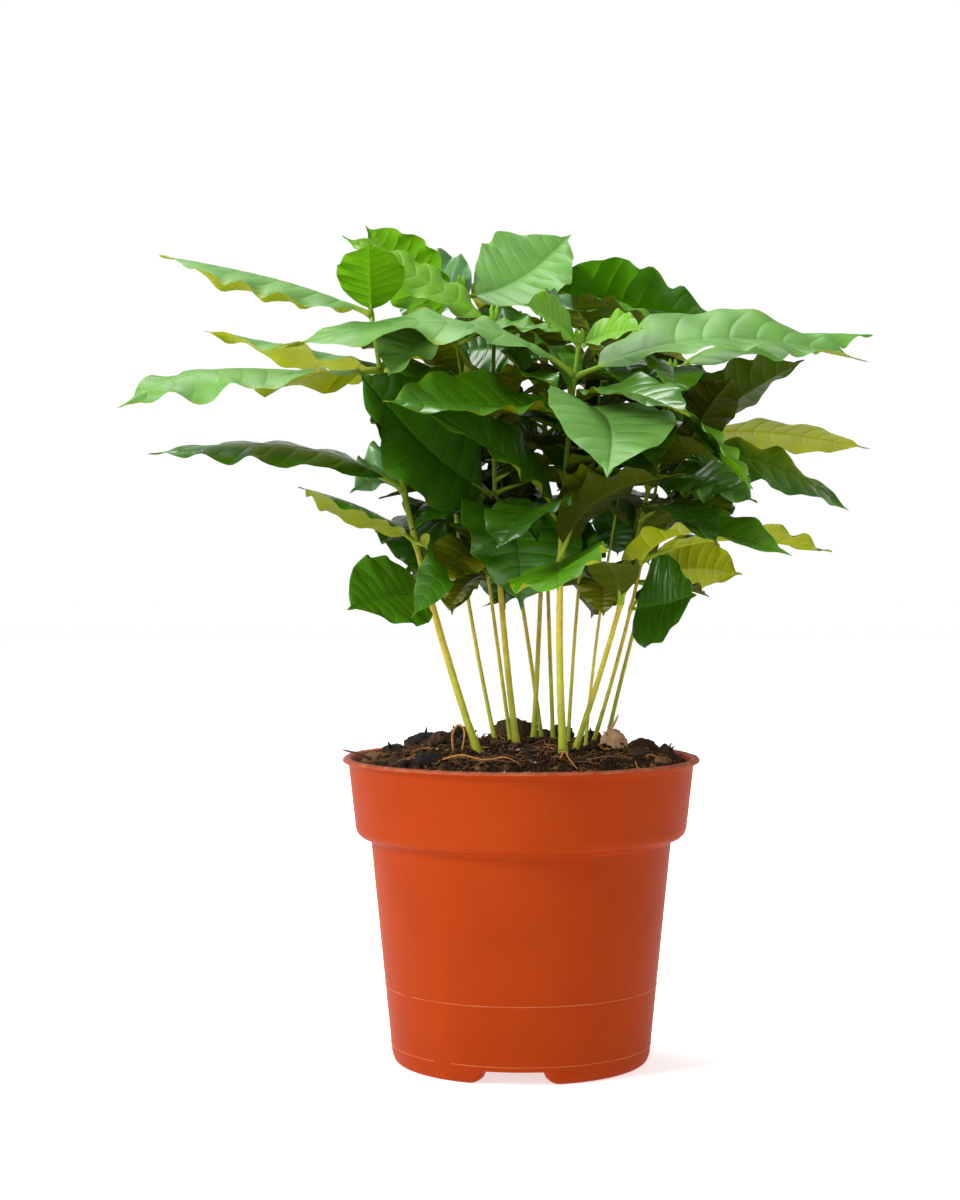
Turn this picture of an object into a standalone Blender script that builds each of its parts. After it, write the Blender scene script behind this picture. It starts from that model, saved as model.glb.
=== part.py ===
"""Potted coffee plant: thirteen seedlings in a terracotta-coloured nursery pot.

Metres, +Z up. The origin is on the floor, under the middle of the pot.
The front of the plant faces -Y. Each seedling has a bare stem that stands in a
socket in the soil, and above it one node of leaves: the leafy top of the stem
with its opposite pairs of leaves fused on.
"""

import math
import random
from collections import namedtuple

import bmesh
import bpy
from mathutils import Vector, noise
from mathutils.bvhtree import BVHTree

MM = 0.001
UP = Vector((0.0, 0.0, 1.0))
CLEARANCE = 0.3 * MM

# The pot: a 12 cm nursery pot with a deep collar under a rolled lip.
POT_HEIGHT = 102.5 * MM
RIM_RADIUS = 60.0 * MM
LIP_HEIGHT = 3.2 * MM
COLLAR_TOP_RADIUS = 57.8 * MM
COLLAR_FOOT_RADIUS = 55.6 * MM
COLLAR_FOOT_Z = 79.0 * MM
BODY_TOP_RADIUS = 50.4 * MM
BODY_TOP_Z = 74.2 * MM
BODY_FOOT_RADIUS = 43.4 * MM
BODY_FOOT_Z = 3.0 * MM
FOOT_OUTER_RADIUS = 41.4 * MM
FOOT_INNER_RADIUS = 38.4 * MM
FLOOR_Z = 5.0 * MM
WALL = 1.2 * MM
POT_SIDES = 36

# The three gaps in the foot ring, and the drain holes in the floor.
NOTCH_COUNT = 3
NOTCH_TURN = math.radians(-93.0)
NOTCH_HEIGHT = 4.2 * MM
NOTCH_TOP_WIDTH = 20.0 * MM
NOTCH_FOOT_WIDTH = 27.0 * MM
DRAIN_COUNT = 6
DRAIN_RADIUS = 4.0 * MM
DRAIN_RING_RADIUS = 27.0 * MM
DRAIN_SIDES = 12

# The soil: a lumpy mound, lowest at the pot's wall.
SOIL_EDGE_Z = 99.6 * MM
SOIL_MIDDLE_Z = 107.5 * MM
SOIL_LUMP = 1.3 * MM
SOIL_LUMP_SPACING = 9.0 * MM
SOIL_RINGS = 7
SOCKET_DEPTH = 4.0 * MM
SOCKET_SIDES = 10

# Lumps of bark and husk half sunk in the soil: x, y, radius and height in millimetres.
SOIL_BITS = (
    (-34, 30, 7, 6),
    (-21, 33, 6, 7),
    (-2, 15, 8.5, 7),
    (31, -3, 4.5, 7.5),
    (-48, -14, 4.5, 4),
    (42, 22, 5, 4.5),
    (49, 14, 4, 4),
    (-30, -32, 6, 3),
)
BIT_ROUGHNESS = 0.22

# Stems and leaves.
STEM_STEPS = 9
LEAFY_STEPS = 7
STEM_TIP_SHARE = 0.55
FOOT_FLARE = 1.35
FLARE_HEIGHT = 6.0 * MM
CROWN_DROP = 7.0 * MM
STALK_SHARE = 0.085
STALK_HALF_WIDTH = 0.8 * MM
LEAF_STEPS = 10
LEAF_THICKNESS = 1.2 * MM
WAVE_HEIGHT = 0.062
WAVE_COUNT = 4.0
TWIST = math.radians(4.0)
SETTLE_STEPS = (0, 5, -5, 10, -10, 15, -15, 20, -20, 26, -26)
RULE_TRIES = 200
RULE_SWING = math.radians(12.0)
RULE_SWING_GROWTH = math.radians(0.8)
RULE_SHRINK = 0.5
CORE_LOW = Vector((-48.0, -86.0, 146.0)) * MM
CORE_HIGH = Vector((72.0, 86.0, 246.0)) * MM
SEED = 41

Leaf = namedtuple("Leaf", "tip width arch roll twist sweep crest fold", defaults=(3, 0, 0, 0, 0.42, 13))
Seedling = namedtuple("Seedling", "foot top bow radius nodes")

# Every seedling, in millimetres: where its stem stands, its tip, how far its
# middle bows sideways, its radius at the foot, and its nodes from the lowest up.
# A node is its height and its two opposite leaves. A leaf is its tip's place, its
# width, how far its midrib arches up, its roll and its twist in degrees, how far
# it bends sideways, where along it the arch is highest, and how far its halves
# fold up. RULE leaves a leaf to the rule that sets it opposite its partner.
RULE = "rule"
SEEDLINGS = (
    Seedling((-13, -22), (-50, -14, 254), (-8, 0), 1.5, (
        (158, Leaf((-55, -50, 153), 27, 1, 40, -25), RULE),
        (174, Leaf((-71, -45, 192), 25, 3, -15, fold=5), Leaf((-35, -42, 150), 15, 6, 60, 0, -7)),
        (191, Leaf((-121, -30, 203), 34, 9, 5, fold=-7), RULE),
        (231, Leaf((-126.5, -56, 216.5), 38, 7.5, 10, 50, crest=0.65, fold=4), RULE),
        (249, Leaf((-121, -5, 270), 36, 3, 4, -85, crest=0.4, fold=2), Leaf((-49, -34, 271), 23, 1)),
    )),
    Seedling((-8, 2), (-29, 28, 250), (-6, 4), 0.85, (
        (164, Leaf((-23, -12, 150), 16, 4), RULE),
        (198, Leaf((-58, 5, 191), 30, 4, 20), RULE),
        (216, RULE, RULE),
        (230, Leaf((-109, 20, 247), 32, 1, -14, fold=-5), RULE),
        (247, Leaf((-54, 25, 284), 29, 2, -45), RULE),
    )),
    Seedling((-1, -12), (-9, 2, 250), (-6, 0), 1.3, (
        (172, RULE, RULE),
        (190, Leaf((-53, -36, 230), 42, -4, 72), RULE),
        (214, Leaf((-20, -22, 237), 24, 2, 45), RULE),
        (247, Leaf((-60, -2, 277), 32, 1, 25, fold=0), Leaf((14, 30, 236), 24, 4)),
    )),
    Seedling((-3, 1), (-22, -4, 244), (0, 0), 0.8, (
        (163, Leaf((-24, 4, 152), 17), RULE),
        (186, Leaf((0, -28, 152), 34, 12), RULE),
        (212, RULE, RULE),
        (240, Leaf((-43, -40, 227), 28, 6, 10), RULE),
    )),
    Seedling((4, 2), (9, 30, 254), (2, -2), 1.05, (
        (178, Leaf((-2, -14, 165), 30, 8), RULE),
        (206, RULE, RULE),
        (222, Leaf((-7, 5, 239), 26, 2, 50), RULE),
        (251, RULE, RULE),
    )),
    Seedling((7.5, 6), (-21, 40, 264), (4, -4), 0.85, (
        (176, RULE, RULE),
        (204, RULE, RULE),
        (234, RULE, RULE),
        (261, Leaf((18, 52, 284), 36, -5, -44), RULE),
    )),
    Seedling((11, 2), (7, 54, 268), (-1, -6), 0.85, (
        (180, RULE, RULE),
        (210, RULE, RULE),
        (238, RULE, RULE),
        (265, Leaf((73, 50, 254), 37, -1, 34, -40, fold=0), Leaf((-12, 90, 256), 32, 4, 6)),
    )),
    Seedling((14, -26), (19, -22, 240), (-7, 0), 1.5, (
        (168, Leaf((11, -90, 160), 36, 2, -22, fold=4), RULE),
        (183, Leaf((-34, -55, 218), 38, 4, 38), Leaf((38, -40, 197), 20, 4, 15)),
        (217, Leaf((-43, -50, 218), 30, 0.5, 4, fold=32), Leaf((26, -78, 194), 38, 7, 8, 0, -6)),
        (228, Leaf((-79, -40, 236), 34, 14, 9, fold=-4), Leaf((115, -10, 234), 37, 10, -25, crest=0.47)),
        (238, Leaf((1, -45, 250), 14, 2, 60), Leaf((39, -35, 243), 16, 1, -35)),
    )),
    Seedling((15.5, -6), (28, 14, 234), (-3, -2), 0.75, (
        (170, RULE, RULE),
        (200, RULE, RULE),
        (231, Leaf((8, -4, 259), 26, 3, 35), RULE),
    )),
    Seedling((16.5, -18), (48, -16, 226), (6, -5), 1.15, (
        (154, Leaf((86, -46, 170), 30, 17, -5, -50, crest=0.4), RULE),
        (192, Leaf((76, -34, 187), 32, 5, -22, fold=5), RULE),
        (222, Leaf((73, -50, 191), 22, 0, 25, fold=20), RULE),
    )),
    Seedling((21, -13), (38, 4, 214), (-4, 2), 0.65, (
        (160, Leaf((27, -34, 150), 18, 4), RULE),
        (196, RULE, RULE),
    )),
    Seedling((23, 2), (51, 4, 232), (7, 0), 0.85, (
        (152, Leaf((58, -14, 157), 40, -1, -62), RULE),
        (168, Leaf((107, 20, 171), 28, 6, 10), RULE),
        (204, Leaf((111, 8, 185), 32, 7, -15, crest=0.5, fold=-2), RULE),
        (229, Leaf((123.5, 40, 247), 32, 8, 8, crest=0.36), RULE),
    )),
    Seedling((28.5, 20), (61, 38, 216), (-3, 0), 0.9, (
        (160, Leaf((77, 24, 163), 26, 4, 50), RULE),
        (190, RULE, RULE),
        (205, Leaf((99, 35, 238), 34, 4, 30), Leaf((50, 10, 228), 22, 2)),
        (212, Leaf((122, 36, 207), 31, 3, 15, fold=-4), RULE),
    )),
)

COLOURS = {
    "pot": ((0.62, 0.16, 0.055), 0.42),
    "soil": ((0.035, 0.024, 0.017), 0.95),
    "stem": ((0.42, 0.50, 0.12), 0.5),
    "leaf": ((0.06, 0.20, 0.025), 0.38),
}


def clear_scene():
    for obj in list(bpy.data.objects):
        bpy.data.objects.remove(obj, do_unlink=True)


def make_material(name):
    colour, roughness = COLOURS[name]
    material = bpy.data.materials.new(name)
    material.use_nodes = True
    shader = material.node_tree.nodes["Principled BSDF"]
    shader.inputs["Base Color"].default_value = (*colour, 1.0)
    shader.inputs["Roughness"].default_value = roughness
    return material


def link(obj, collection, material=None):
    collection.objects.link(obj)
    if material:
        obj.data.materials.clear()
        obj.data.materials.append(material)
    return obj


def mesh_object(name, points, faces, collection, material=None):
    mesh = bpy.data.meshes.new(name)
    mesh.from_pydata(points, [], faces)
    mesh.update()
    return link(bpy.data.objects.new(name, mesh), collection, material)


def turned(name, profile, collection, material):
    """A solid of revolution from a profile that starts and ends on the axis."""
    points = [(radius, 0.0, height) for radius, height in profile]
    mesh = bpy.data.meshes.new(name)
    mesh.from_pydata(points, [(i, i + 1) for i in range(len(points) - 1)], [])
    obj = link(bpy.data.objects.new(name, mesh), collection, material)
    screw = obj.modifiers.new("turn", "SCREW")
    screw.steps = POT_SIDES
    screw.render_steps = POT_SIDES
    screw.use_merge_vertices = True
    screw.merge_threshold = 0.00001
    screw.use_normal_calculate = True
    return obj


def apply_modifiers(obj):
    """Swap an object's mesh for what its modifiers make of it."""
    depsgraph = bpy.context.evaluated_depsgraph_get()
    old = obj.data
    obj.data = bpy.data.meshes.new_from_object(obj.evaluated_get(depsgraph))
    obj.modifiers.clear()
    bpy.data.meshes.remove(old)


def combine(obj, others, operation, solver):
    """Cut a collection's objects from an object or fuse them on, and remove them."""
    combiner = obj.modifiers.new("combine", "BOOLEAN")
    combiner.operand_type = "COLLECTION"
    combiner.collection = others
    combiner.solver = solver
    combiner.operation = operation
    apply_modifiers(obj)
    for other in list(others.objects):
        bpy.data.objects.remove(other, do_unlink=True)


def cut(obj, cutters):
    combine(obj, cutters, "DIFFERENCE", "EXACT")


def fuse(obj, parts):
    combine(obj, parts, "UNION", "MANIFOLD")


def add_prism(name, radius, depth, sides, place, collection):
    mesh = bpy.data.meshes.new(name)
    shape = bmesh.new()
    bmesh.ops.create_cone(
        shape, cap_ends=True, segments=sides, radius1=radius, radius2=radius, depth=depth
    )
    bmesh.ops.translate(shape, verts=shape.verts, vec=place)
    shape.to_mesh(mesh)
    shape.free()
    return link(bpy.data.objects.new(name, mesh), collection)


def body_radius(height):
    share = (height - BODY_FOOT_Z) / (BODY_TOP_Z - BODY_FOOT_Z)
    return BODY_FOOT_RADIUS + (BODY_TOP_RADIUS - BODY_FOOT_RADIUS) * share


def inner_wall():
    """The pot's inner side, from the floor's edge up to the foot of the lip."""
    floor_top = FLOOR_Z + WALL
    ledge_z = BODY_TOP_Z + WALL
    return [
        (body_radius(floor_top) - WALL, floor_top),
        (BODY_TOP_RADIUS - WALL, ledge_z - 0.4 * MM),
        (BODY_TOP_RADIUS - 0.3 * MM, ledge_z + 0.9 * MM),
        (COLLAR_FOOT_RADIUS - 2.6 * MM, ledge_z + 1.6 * MM),
        (COLLAR_FOOT_RADIUS - WALL, COLLAR_FOOT_Z + WALL),
        (COLLAR_TOP_RADIUS - WALL, POT_HEIGHT - LIP_HEIGHT),
    ]


def make_pot(collection, cutters, material):
    lip_foot = POT_HEIGHT - LIP_HEIGHT
    profile = [(0.0, FLOOR_Z + WALL)]
    profile += inner_wall()
    profile += [
        (COLLAR_TOP_RADIUS - 0.6 * MM, POT_HEIGHT - 0.7 * MM),
        (RIM_RADIUS - 1.9 * MM, POT_HEIGHT),
        (RIM_RADIUS - 0.8 * MM, POT_HEIGHT),
        (RIM_RADIUS, POT_HEIGHT - 0.9 * MM),
        (RIM_RADIUS, lip_foot + 0.6 * MM),
        (RIM_RADIUS - 0.7 * MM, lip_foot),
        (COLLAR_TOP_RADIUS, lip_foot - 0.3 * MM),
        (COLLAR_FOOT_RADIUS, COLLAR_FOOT_Z),
        (COLLAR_FOOT_RADIUS - 0.5 * MM, COLLAR_FOOT_Z - 1.8 * MM),
        (COLLAR_FOOT_RADIUS - 2.0 * MM, COLLAR_FOOT_Z - 3.2 * MM),
        (BODY_TOP_RADIUS + 0.8 * MM, BODY_TOP_Z + 1.0 * MM),
        (BODY_TOP_RADIUS, BODY_TOP_Z),
        (BODY_FOOT_RADIUS, BODY_FOOT_Z),
        (BODY_FOOT_RADIUS - 0.8 * MM, 0.9 * MM),
        (FOOT_OUTER_RADIUS, 0.0),
        (FOOT_INNER_RADIUS, 0.0),
        (FOOT_INNER_RADIUS - 0.4 * MM, FLOOR_Z),
        (0.0, FLOOR_Z),
    ]
    pot = turned("pot", profile, collection, material)
    apply_modifiers(pot)
    for index in range(NOTCH_COUNT):
        make_notch_cutter(NOTCH_TURN + index * math.tau / NOTCH_COUNT, cutters)
    for index in range(DRAIN_COUNT):
        turn = math.tau * (index + 0.5) / DRAIN_COUNT
        place = (DRAIN_RING_RADIUS * math.cos(turn), DRAIN_RING_RADIUS * math.sin(turn), FLOOR_Z)
        add_prism("drain", DRAIN_RADIUS, 4 * WALL, DRAIN_SIDES, place, cutters)
    cut(pot, cutters)
    pot.data.shade_smooth()
    pot.data.set_sharp_from_angle(angle=math.radians(35))
    return pot


def make_notch_cutter(turn, cutters):
    """A block across the foot ring, wider at the floor than at its top."""
    outward = Vector((math.cos(turn), math.sin(turn), 0.0))
    aside = UP.cross(outward)
    points = []
    for reach in (FOOT_INNER_RADIUS - 4 * MM, BODY_FOOT_RADIUS + 3 * MM):
        for half_width, height in (
            (-NOTCH_FOOT_WIDTH / 2, -MM),
            (NOTCH_FOOT_WIDTH / 2, -MM),
            (NOTCH_TOP_WIDTH / 2, NOTCH_HEIGHT),
            (-NOTCH_TOP_WIDTH / 2, NOTCH_HEIGHT),
        ):
            points.append(outward * reach + aside * half_width + UP * height)
    faces = [(3, 2, 1, 0), (4, 5, 6, 7), (0, 1, 5, 4), (1, 2, 6, 5), (2, 3, 7, 6), (3, 0, 4, 7)]
    mesh_object("notch", points, faces, cutters)


def soil_height(x, y):
    """The mound's height over a place, with its lumps."""
    share = min(math.hypot(x, y) / (COLLAR_TOP_RADIUS - WALL), 1.0)
    mound = SOIL_EDGE_Z + (SOIL_MIDDLE_Z - SOIL_EDGE_Z) * math.cos(share * math.pi / 2) ** 0.8
    place = Vector((x, y, 0.0)) / SOIL_LUMP_SPACING
    return mound + SOIL_LUMP * noise.noise(place) * (1.0 - share**4)


def add_soil_bit(number, place, radius, height, collection):
    """A rough lump whose lower half is under the soil."""
    mesh = bpy.data.meshes.new("bit")
    shape = bmesh.new()
    bmesh.ops.create_icosphere(shape, subdivisions=1, radius=1.0)
    for point in shape.verts:
        point.co *= 1.0 + BIT_ROUGHNESS * noise.noise(point.co * 1.7 + UP * 5.0 * number)
    bmesh.ops.scale(shape, verts=shape.verts, vec=(radius, radius, height))
    centre = (*place, soil_height(*place))
    bmesh.ops.translate(shape, verts=shape.verts, vec=centre)
    shape.to_mesh(mesh)
    shape.free()
    link(bpy.data.objects.new("bit", mesh), collection)


def make_soil(collection, cutters, material):
    wall = [(radius - CLEARANCE, height) for radius, height in inner_wall()]
    wall[0] = (wall[0][0], wall[0][1] + CLEARANCE)
    wall[-1] = (COLLAR_TOP_RADIUS - WALL - CLEARANCE, SOIL_EDGE_Z)
    edge = wall[-1][0]
    profile = [(0.0, SOIL_MIDDLE_Z)]
    profile += [(edge * step / SOIL_RINGS, SOIL_MIDDLE_Z) for step in range(1, SOIL_RINGS)]
    profile += reversed(wall)
    profile += [(0.0, wall[0][1])]
    soil = turned("soil", profile, collection, material)
    apply_modifiers(soil)
    for point in soil.data.vertices:
        if point.co.z > SOIL_EDGE_Z + 0.1 * MM:
            point.co.z = soil_height(point.co.x, point.co.y)
    for number, (x, y, radius, height) in enumerate(SOIL_BITS):
        add_soil_bit(number, Vector((x, y)) * MM, radius * MM, height * MM, cutters)
    fuse(soil, cutters)
    for seedling in SEEDLINGS:
        x, y = seedling.foot[0] * MM, seedling.foot[1] * MM
        top = soil_height(x, y) + SOCKET_DEPTH
        radius = seedling.radius * FOOT_FLARE * MM + CLEARANCE
        place = (x, y, top - SOCKET_DEPTH)
        add_prism("socket", radius, 2 * SOCKET_DEPTH, SOCKET_SIDES, place, cutters)
    cut(soil, cutters)
    return soil


def stem_point(seedling, height):
    """The stem's middle at a height: a curve from foot to tip that bows aside."""
    foot = foot_of(seedling)
    top = Vector(seedling.top) * MM
    share = (height - foot.z) / (top.z - foot.z)
    bow = Vector((*seedling.bow, 0.0)) * MM
    return foot.lerp(top, share) + bow * (2 * share * (1 - share))


def foot_of(seedling):
    x, y = seedling.foot[0] * MM, seedling.foot[1] * MM
    return Vector((x, y, soil_height(x, y) - SOCKET_DEPTH + CLEARANCE))


def stem_radius(seedling, height):
    """Tapers from foot to tip, with a flare just above the soil."""
    foot = foot_of(seedling)
    share = (height - foot.z) / (seedling.top[2] * MM - foot.z)
    radius = seedling.radius * MM * (1.0 - (1.0 - STEM_TIP_SHARE) * share)
    above = max(height - foot.z - SOCKET_DEPTH, 0.0)
    return radius * (1.0 + (FOOT_FLARE - 1.0) * math.exp(-above / FLARE_HEIGHT * 2))


def tube(name, points, radii, collection, material=None):
    """A round tapering limb: a bevelled curve with its caps welded on."""
    curve = bpy.data.curves.new(name, "CURVE")
    curve.dimensions = "3D"
    curve.bevel_depth = 1.0
    curve.bevel_resolution = 1
    curve.use_fill_caps = True
    spline = curve.splines.new("POLY")
    spline.points.add(len(points) - 1)
    for node, point, radius in zip(spline.points, points, radii):
        node.co = (*point, 1.0)
        node.radius = radius
    guide = bpy.data.objects.new(name + "_guide", curve)
    collection.objects.link(guide)
    depsgraph = bpy.context.evaluated_depsgraph_get()
    mesh = bpy.data.meshes.new_from_object(guide.evaluated_get(depsgraph))
    shape = bmesh.new()
    shape.from_mesh(mesh)
    bmesh.ops.remove_doubles(shape, verts=shape.verts, dist=0.00001)
    bmesh.ops.recalc_face_normals(shape, faces=shape.faces)
    shape.to_mesh(mesh)
    shape.free()
    bpy.data.objects.remove(guide, do_unlink=True)
    return link(bpy.data.objects.new(name, mesh), collection, material)


def stem_run(seedling, start, end, steps):
    heights = [start + (end - start) * step / steps for step in range(steps + 1)]
    points = [stem_point(seedling, height) for height in heights]
    radii = [stem_radius(seedling, height) for height in heights]
    return points, radii


def crown_foot(seedling):
    """The height where the bare stem ends and the leafy top begins."""
    return seedling.nodes[0][0] * MM - CROWN_DROP


def make_bare_stem(name, seedling, collection, material):
    foot = foot_of(seedling)
    points, radii = stem_run(seedling, foot.z + SOCKET_DEPTH, crown_foot(seedling), STEM_STEPS)
    points[0] = foot + UP * SOCKET_DEPTH
    stem = tube(name, [foot] + points, [radii[0]] + radii, collection, material)
    stem.data.shade_smooth()
    stem.data.set_sharp_from_angle(angle=math.radians(50))
    return stem


def blade_share(share):
    """A coffee blade's width over its length: widest near the middle, with a drip tip."""
    if share <= 0.0 or share >= 1.0:
        return 0.0
    body = math.sin(math.pi * min(share / 0.93, 1.0) ** 0.92) ** 0.82 if share < 0.93 else 0.0
    drip = 0.13 * (1.0 - share) / 0.18 if share > 0.8 else 0.0
    return max(body, drip)


def midrib(leaf, share):
    """The midrib's place at a share of the way from the stem to the tip."""
    chord = leaf["tip"] - leaf["base"]
    lift = (UP - chord * (UP.dot(chord) / chord.length_squared)).normalized()
    aside = chord.cross(UP).normalized()
    rise = math.sin(math.pi * share ** (math.log(0.5) / math.log(leaf["crest"])))
    bend = math.sin(math.pi * share)
    return leaf["base"] + chord * share + lift * leaf["arch"] * rise + aside * leaf["sweep"] * bend


def leaf_rows(leaf, steps, start=0.0):
    """Left margin, midrib and right margin at each step, with the blade's normal."""
    rows = []
    for step in range(steps + 1):
        share = start + (1.0 - start) * step / steps
        middle = midrib(leaf, share)
        along = midrib(leaf, min(share + 0.02, 1.0)) - midrib(leaf, max(share - 0.02, 0.0))
        along.normalize()
        right = along.cross(UP).normalized()
        up = right.cross(along)
        roll = leaf["roll"] + leaf["twist"] * (share - 0.4)
        aside = right * math.cos(roll) + up * math.sin(roll)
        normal = up * math.cos(roll) - right * math.sin(roll)
        blade = (share - STALK_SHARE) / (1.0 - STALK_SHARE)
        half = max(leaf["width"] / 2 * blade_share(blade), STALK_HALF_WIDTH * (1.0 - share))
        fade = math.sin(math.pi * min(max(blade, 0.0), 1.0)) ** 0.5
        row = [middle]
        for side, phase in ((-1, leaf["phase"]), (1, leaf["phase"] + leaf["shift"])):
            wave = leaf["wave"] * fade * math.sin(math.tau * WAVE_COUNT * blade + phase)
            margin = middle + aside * (side * half * math.cos(leaf["fold"]))
            margin += normal * (half * math.sin(leaf["fold"]) + wave)
            row.append(margin)
        rows.append((row[1], row[0], row[2], normal))
    return rows


def leaf_shell(leaf, steps, thickness, start=0.0):
    """Points and faces of a closed leaf: thick at the midrib and thin at its margins."""
    points, faces = [], []
    rows = leaf_rows(leaf, steps, start)
    for left, middle, right, normal in rows[:-1]:
        points += [left, middle + normal * thickness / 2, right, middle - normal * thickness / 2]
    points.append(rows[-1][1])
    for step in range(steps - 1):
        first = 4 * step
        for side in range(4):
            near, far = first + side, first + (side + 1) % 4
            faces.append((near, far, far + 4, near + 4))
    last = 4 * (steps - 1)
    faces += [(last + side, last + (side + 1) % 4, last + 4) for side in range(4)]
    faces.append((3, 2, 1, 0))
    return points, faces


def leaf_from(seedling, height, row, rng):
    """A leaf's numbers in metres and radians, with its own slight chance turns."""
    width = row.width * MM
    return {
        "base": stem_point(seedling, height * MM),
        "tip": Vector(row.tip) * MM,
        "width": width,
        "arch": row.arch * MM,
        "roll": math.radians(row.roll),
        "twist": math.radians(row.twist) + rng.uniform(-TWIST, TWIST),
        "sweep": row.sweep * MM,
        "crest": row.crest,
        "fold": math.radians(row.fold) * rng.uniform(0.8, 1.2),
        "wave": width * WAVE_HEIGHT * rng.uniform(0.7, 1.3),
        "phase": rng.uniform(0.0, math.tau),
        "shift": rng.uniform(1.5, 4.5),
    }


def rule_row(seedling, height, turn, size, rng):
    """A leaf by the rule: outward at a turn, rising or drooping a little."""
    base = stem_point(seedling, height * MM) / MM
    length = rng.uniform(56, 90) * size
    rise = math.radians(rng.uniform(-16, 36))
    reach = length * math.cos(rise)
    tip = base + Vector((reach * math.cos(turn), reach * math.sin(turn), length * math.sin(rise)))
    width = length * rng.uniform(0.38, 0.45)
    return Leaf(tuple(tip), width, rng.uniform(3, 11), rng.uniform(-22, 22), rng.uniform(-20, 20))


def grow_leaves():
    """Place every leaf so that none touches a stem or another leaf."""
    stems = []
    for seedling in SEEDLINGS:
        foot = foot_of(seedling)
        points, radii = stem_run(seedling, foot.z, seedling.top[2] * MM, 12)
        stems.append(tube_tree(points, [radius + 0.6 * MM for radius in radii]))
    placed = []
    crowns = [[] for _ in SEEDLINGS]
    for fixed in (True, False):
        for owner, seedling in enumerate(SEEDLINGS):
            for index, (height, *pair) in enumerate(seedling.nodes):
                for side, row in enumerate(pair):
                    if (row is RULE) == fixed:
                        continue
                    rng = random.Random(SEED * 10000 + owner * 100 + index * 10 + side)
                    leaf = settle(seedling, owner, height, index, pair, side, rng, stems, placed)
                    if leaf:
                        crowns[owner].append(leaf)
    return crowns


def settle(seedling, owner, height, index, pair, side, rng, stems, placed):
    """The first place near the wanted one where a leaf is clear of all others."""
    row = pair[side]
    if row is RULE:
        partner = pair[1 - side]
        base = stem_point(seedling, height * MM) / MM
        if partner is RULE:
            turn = math.radians(137.0 * owner + 90.0 * index + 180.0 * side)
        else:
            turn = math.atan2(base.y - partner.tip[1], base.x - partner.tip[0])
        for attempt in range(RULE_TRIES):
            swing = rng.uniform(-1, 1) * (RULE_SWING + RULE_SWING_GROWTH * attempt)
            size = 1.0 - RULE_SHRINK * attempt / RULE_TRIES
            row = rule_row(seedling, height, turn + swing, size, rng)
            leaf = leaf_from(seedling, height, row, rng)
            if is_inside(leaf) and is_clear(leaf, owner, stems, placed):
                return leaf
        return None
    state = rng.getstate()
    for shift in SETTLE_STEPS:
        rng.setstate(state)
        moved = (row.tip[0], row.tip[1] + shift, row.tip[2])
        leaf = leaf_from(seedling, height, row._replace(tip=moved), rng)
        if is_clear(leaf, owner, stems, placed):
            return leaf
    return None


def is_inside(leaf):
    """Whether a leaf's tip keeps within the crown's core, so it fills it from within."""
    return all(CORE_LOW[axis] <= leaf["tip"][axis] <= CORE_HIGH[axis] for axis in range(3))


def is_clear(leaf, owner, stems, placed):
    """Whether a leaf, made a little fatter, touches nothing; if so it joins the placed."""
    whole = BVHTree.FromPolygons(*leaf_shell(leaf, LEAF_STEPS, LEAF_THICKNESS * 1.7))
    blade = BVHTree.FromPolygons(*leaf_shell(leaf, LEAF_STEPS, LEAF_THICKNESS * 1.7, 0.16))
    for number, tree in enumerate(stems):
        if (blade if number == owner else whole).overlap(tree):
            return False
    for other_owner, other_whole, other_blade in placed:
        if other_owner == owner:
            if blade.overlap(other_blade):
                return False
        elif whole.overlap(other_whole):
            return False
    placed.append((owner, whole, blade))
    return True


def tube_tree(points, radii):
    """A search tree of a limb's surface, as a four-sided tube."""
    rings, faces = [], []
    for point, radius in zip(points, radii):
        for turn in range(4):
            angle = math.tau * turn / 4
            rings.append(point + Vector((math.cos(angle), math.sin(angle), 0.0)) * radius * 1.2)
    for ring in range(len(points) - 1):
        for side in range(4):
            near, far = 4 * ring + side, 4 * ring + (side + 1) % 4
            faces.append((near, far, far + 4, near + 4))
    return BVHTree.FromPolygons(rings, faces)


def keep_outer_body(obj):
    """Drop loose scraps and the walls of sealed hollows, so one body is left."""
    shape = bmesh.new()
    shape.from_mesh(obj.data)
    islands, seen = [], set()
    for start in shape.faces:
        if start in seen:
            continue
        seen.add(start)
        island, queue = [start], [start]
        while queue:
            for edge in queue.pop().edges:
                for face in edge.link_faces:
                    if face not in seen:
                        seen.add(face)
                        island.append(face)
                        queue.append(face)
        islands.append(island)
    islands.sort(key=len)
    for island in islands[:-1]:
        bmesh.ops.delete(shape, geom=island, context="FACES")
    loose = [point for point in shape.verts if not point.link_faces]
    bmesh.ops.delete(shape, geom=loose, context="VERTS")
    bmesh.ops.triangulate(shape, faces=shape.faces)
    shape.to_mesh(obj.data)
    shape.free()


def make_leaf_mass(name, seedling, leaves, collection, parts, material):
    """The leafy top of a stem with its leaves fused on by one union."""
    start = crown_foot(seedling) + CLEARANCE
    points, radii = stem_run(seedling, start, seedling.top[2] * MM, LEAFY_STEPS)
    mass = tube(name, points, radii, collection, material)
    for number, leaf in enumerate(leaves):
        shell = leaf_shell(leaf, LEAF_STEPS, LEAF_THICKNESS)
        mesh_object(f"{name}_leaf_{number}", *shell, parts)
    fuse(mass, parts)
    keep_outer_body(mass)
    mass.data.materials.clear()
    mass.data.materials.append(material)
    return mass


def add_collection(name):
    collection = bpy.data.collections.new(name)
    bpy.context.scene.collection.children.link(collection)
    return collection


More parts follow.
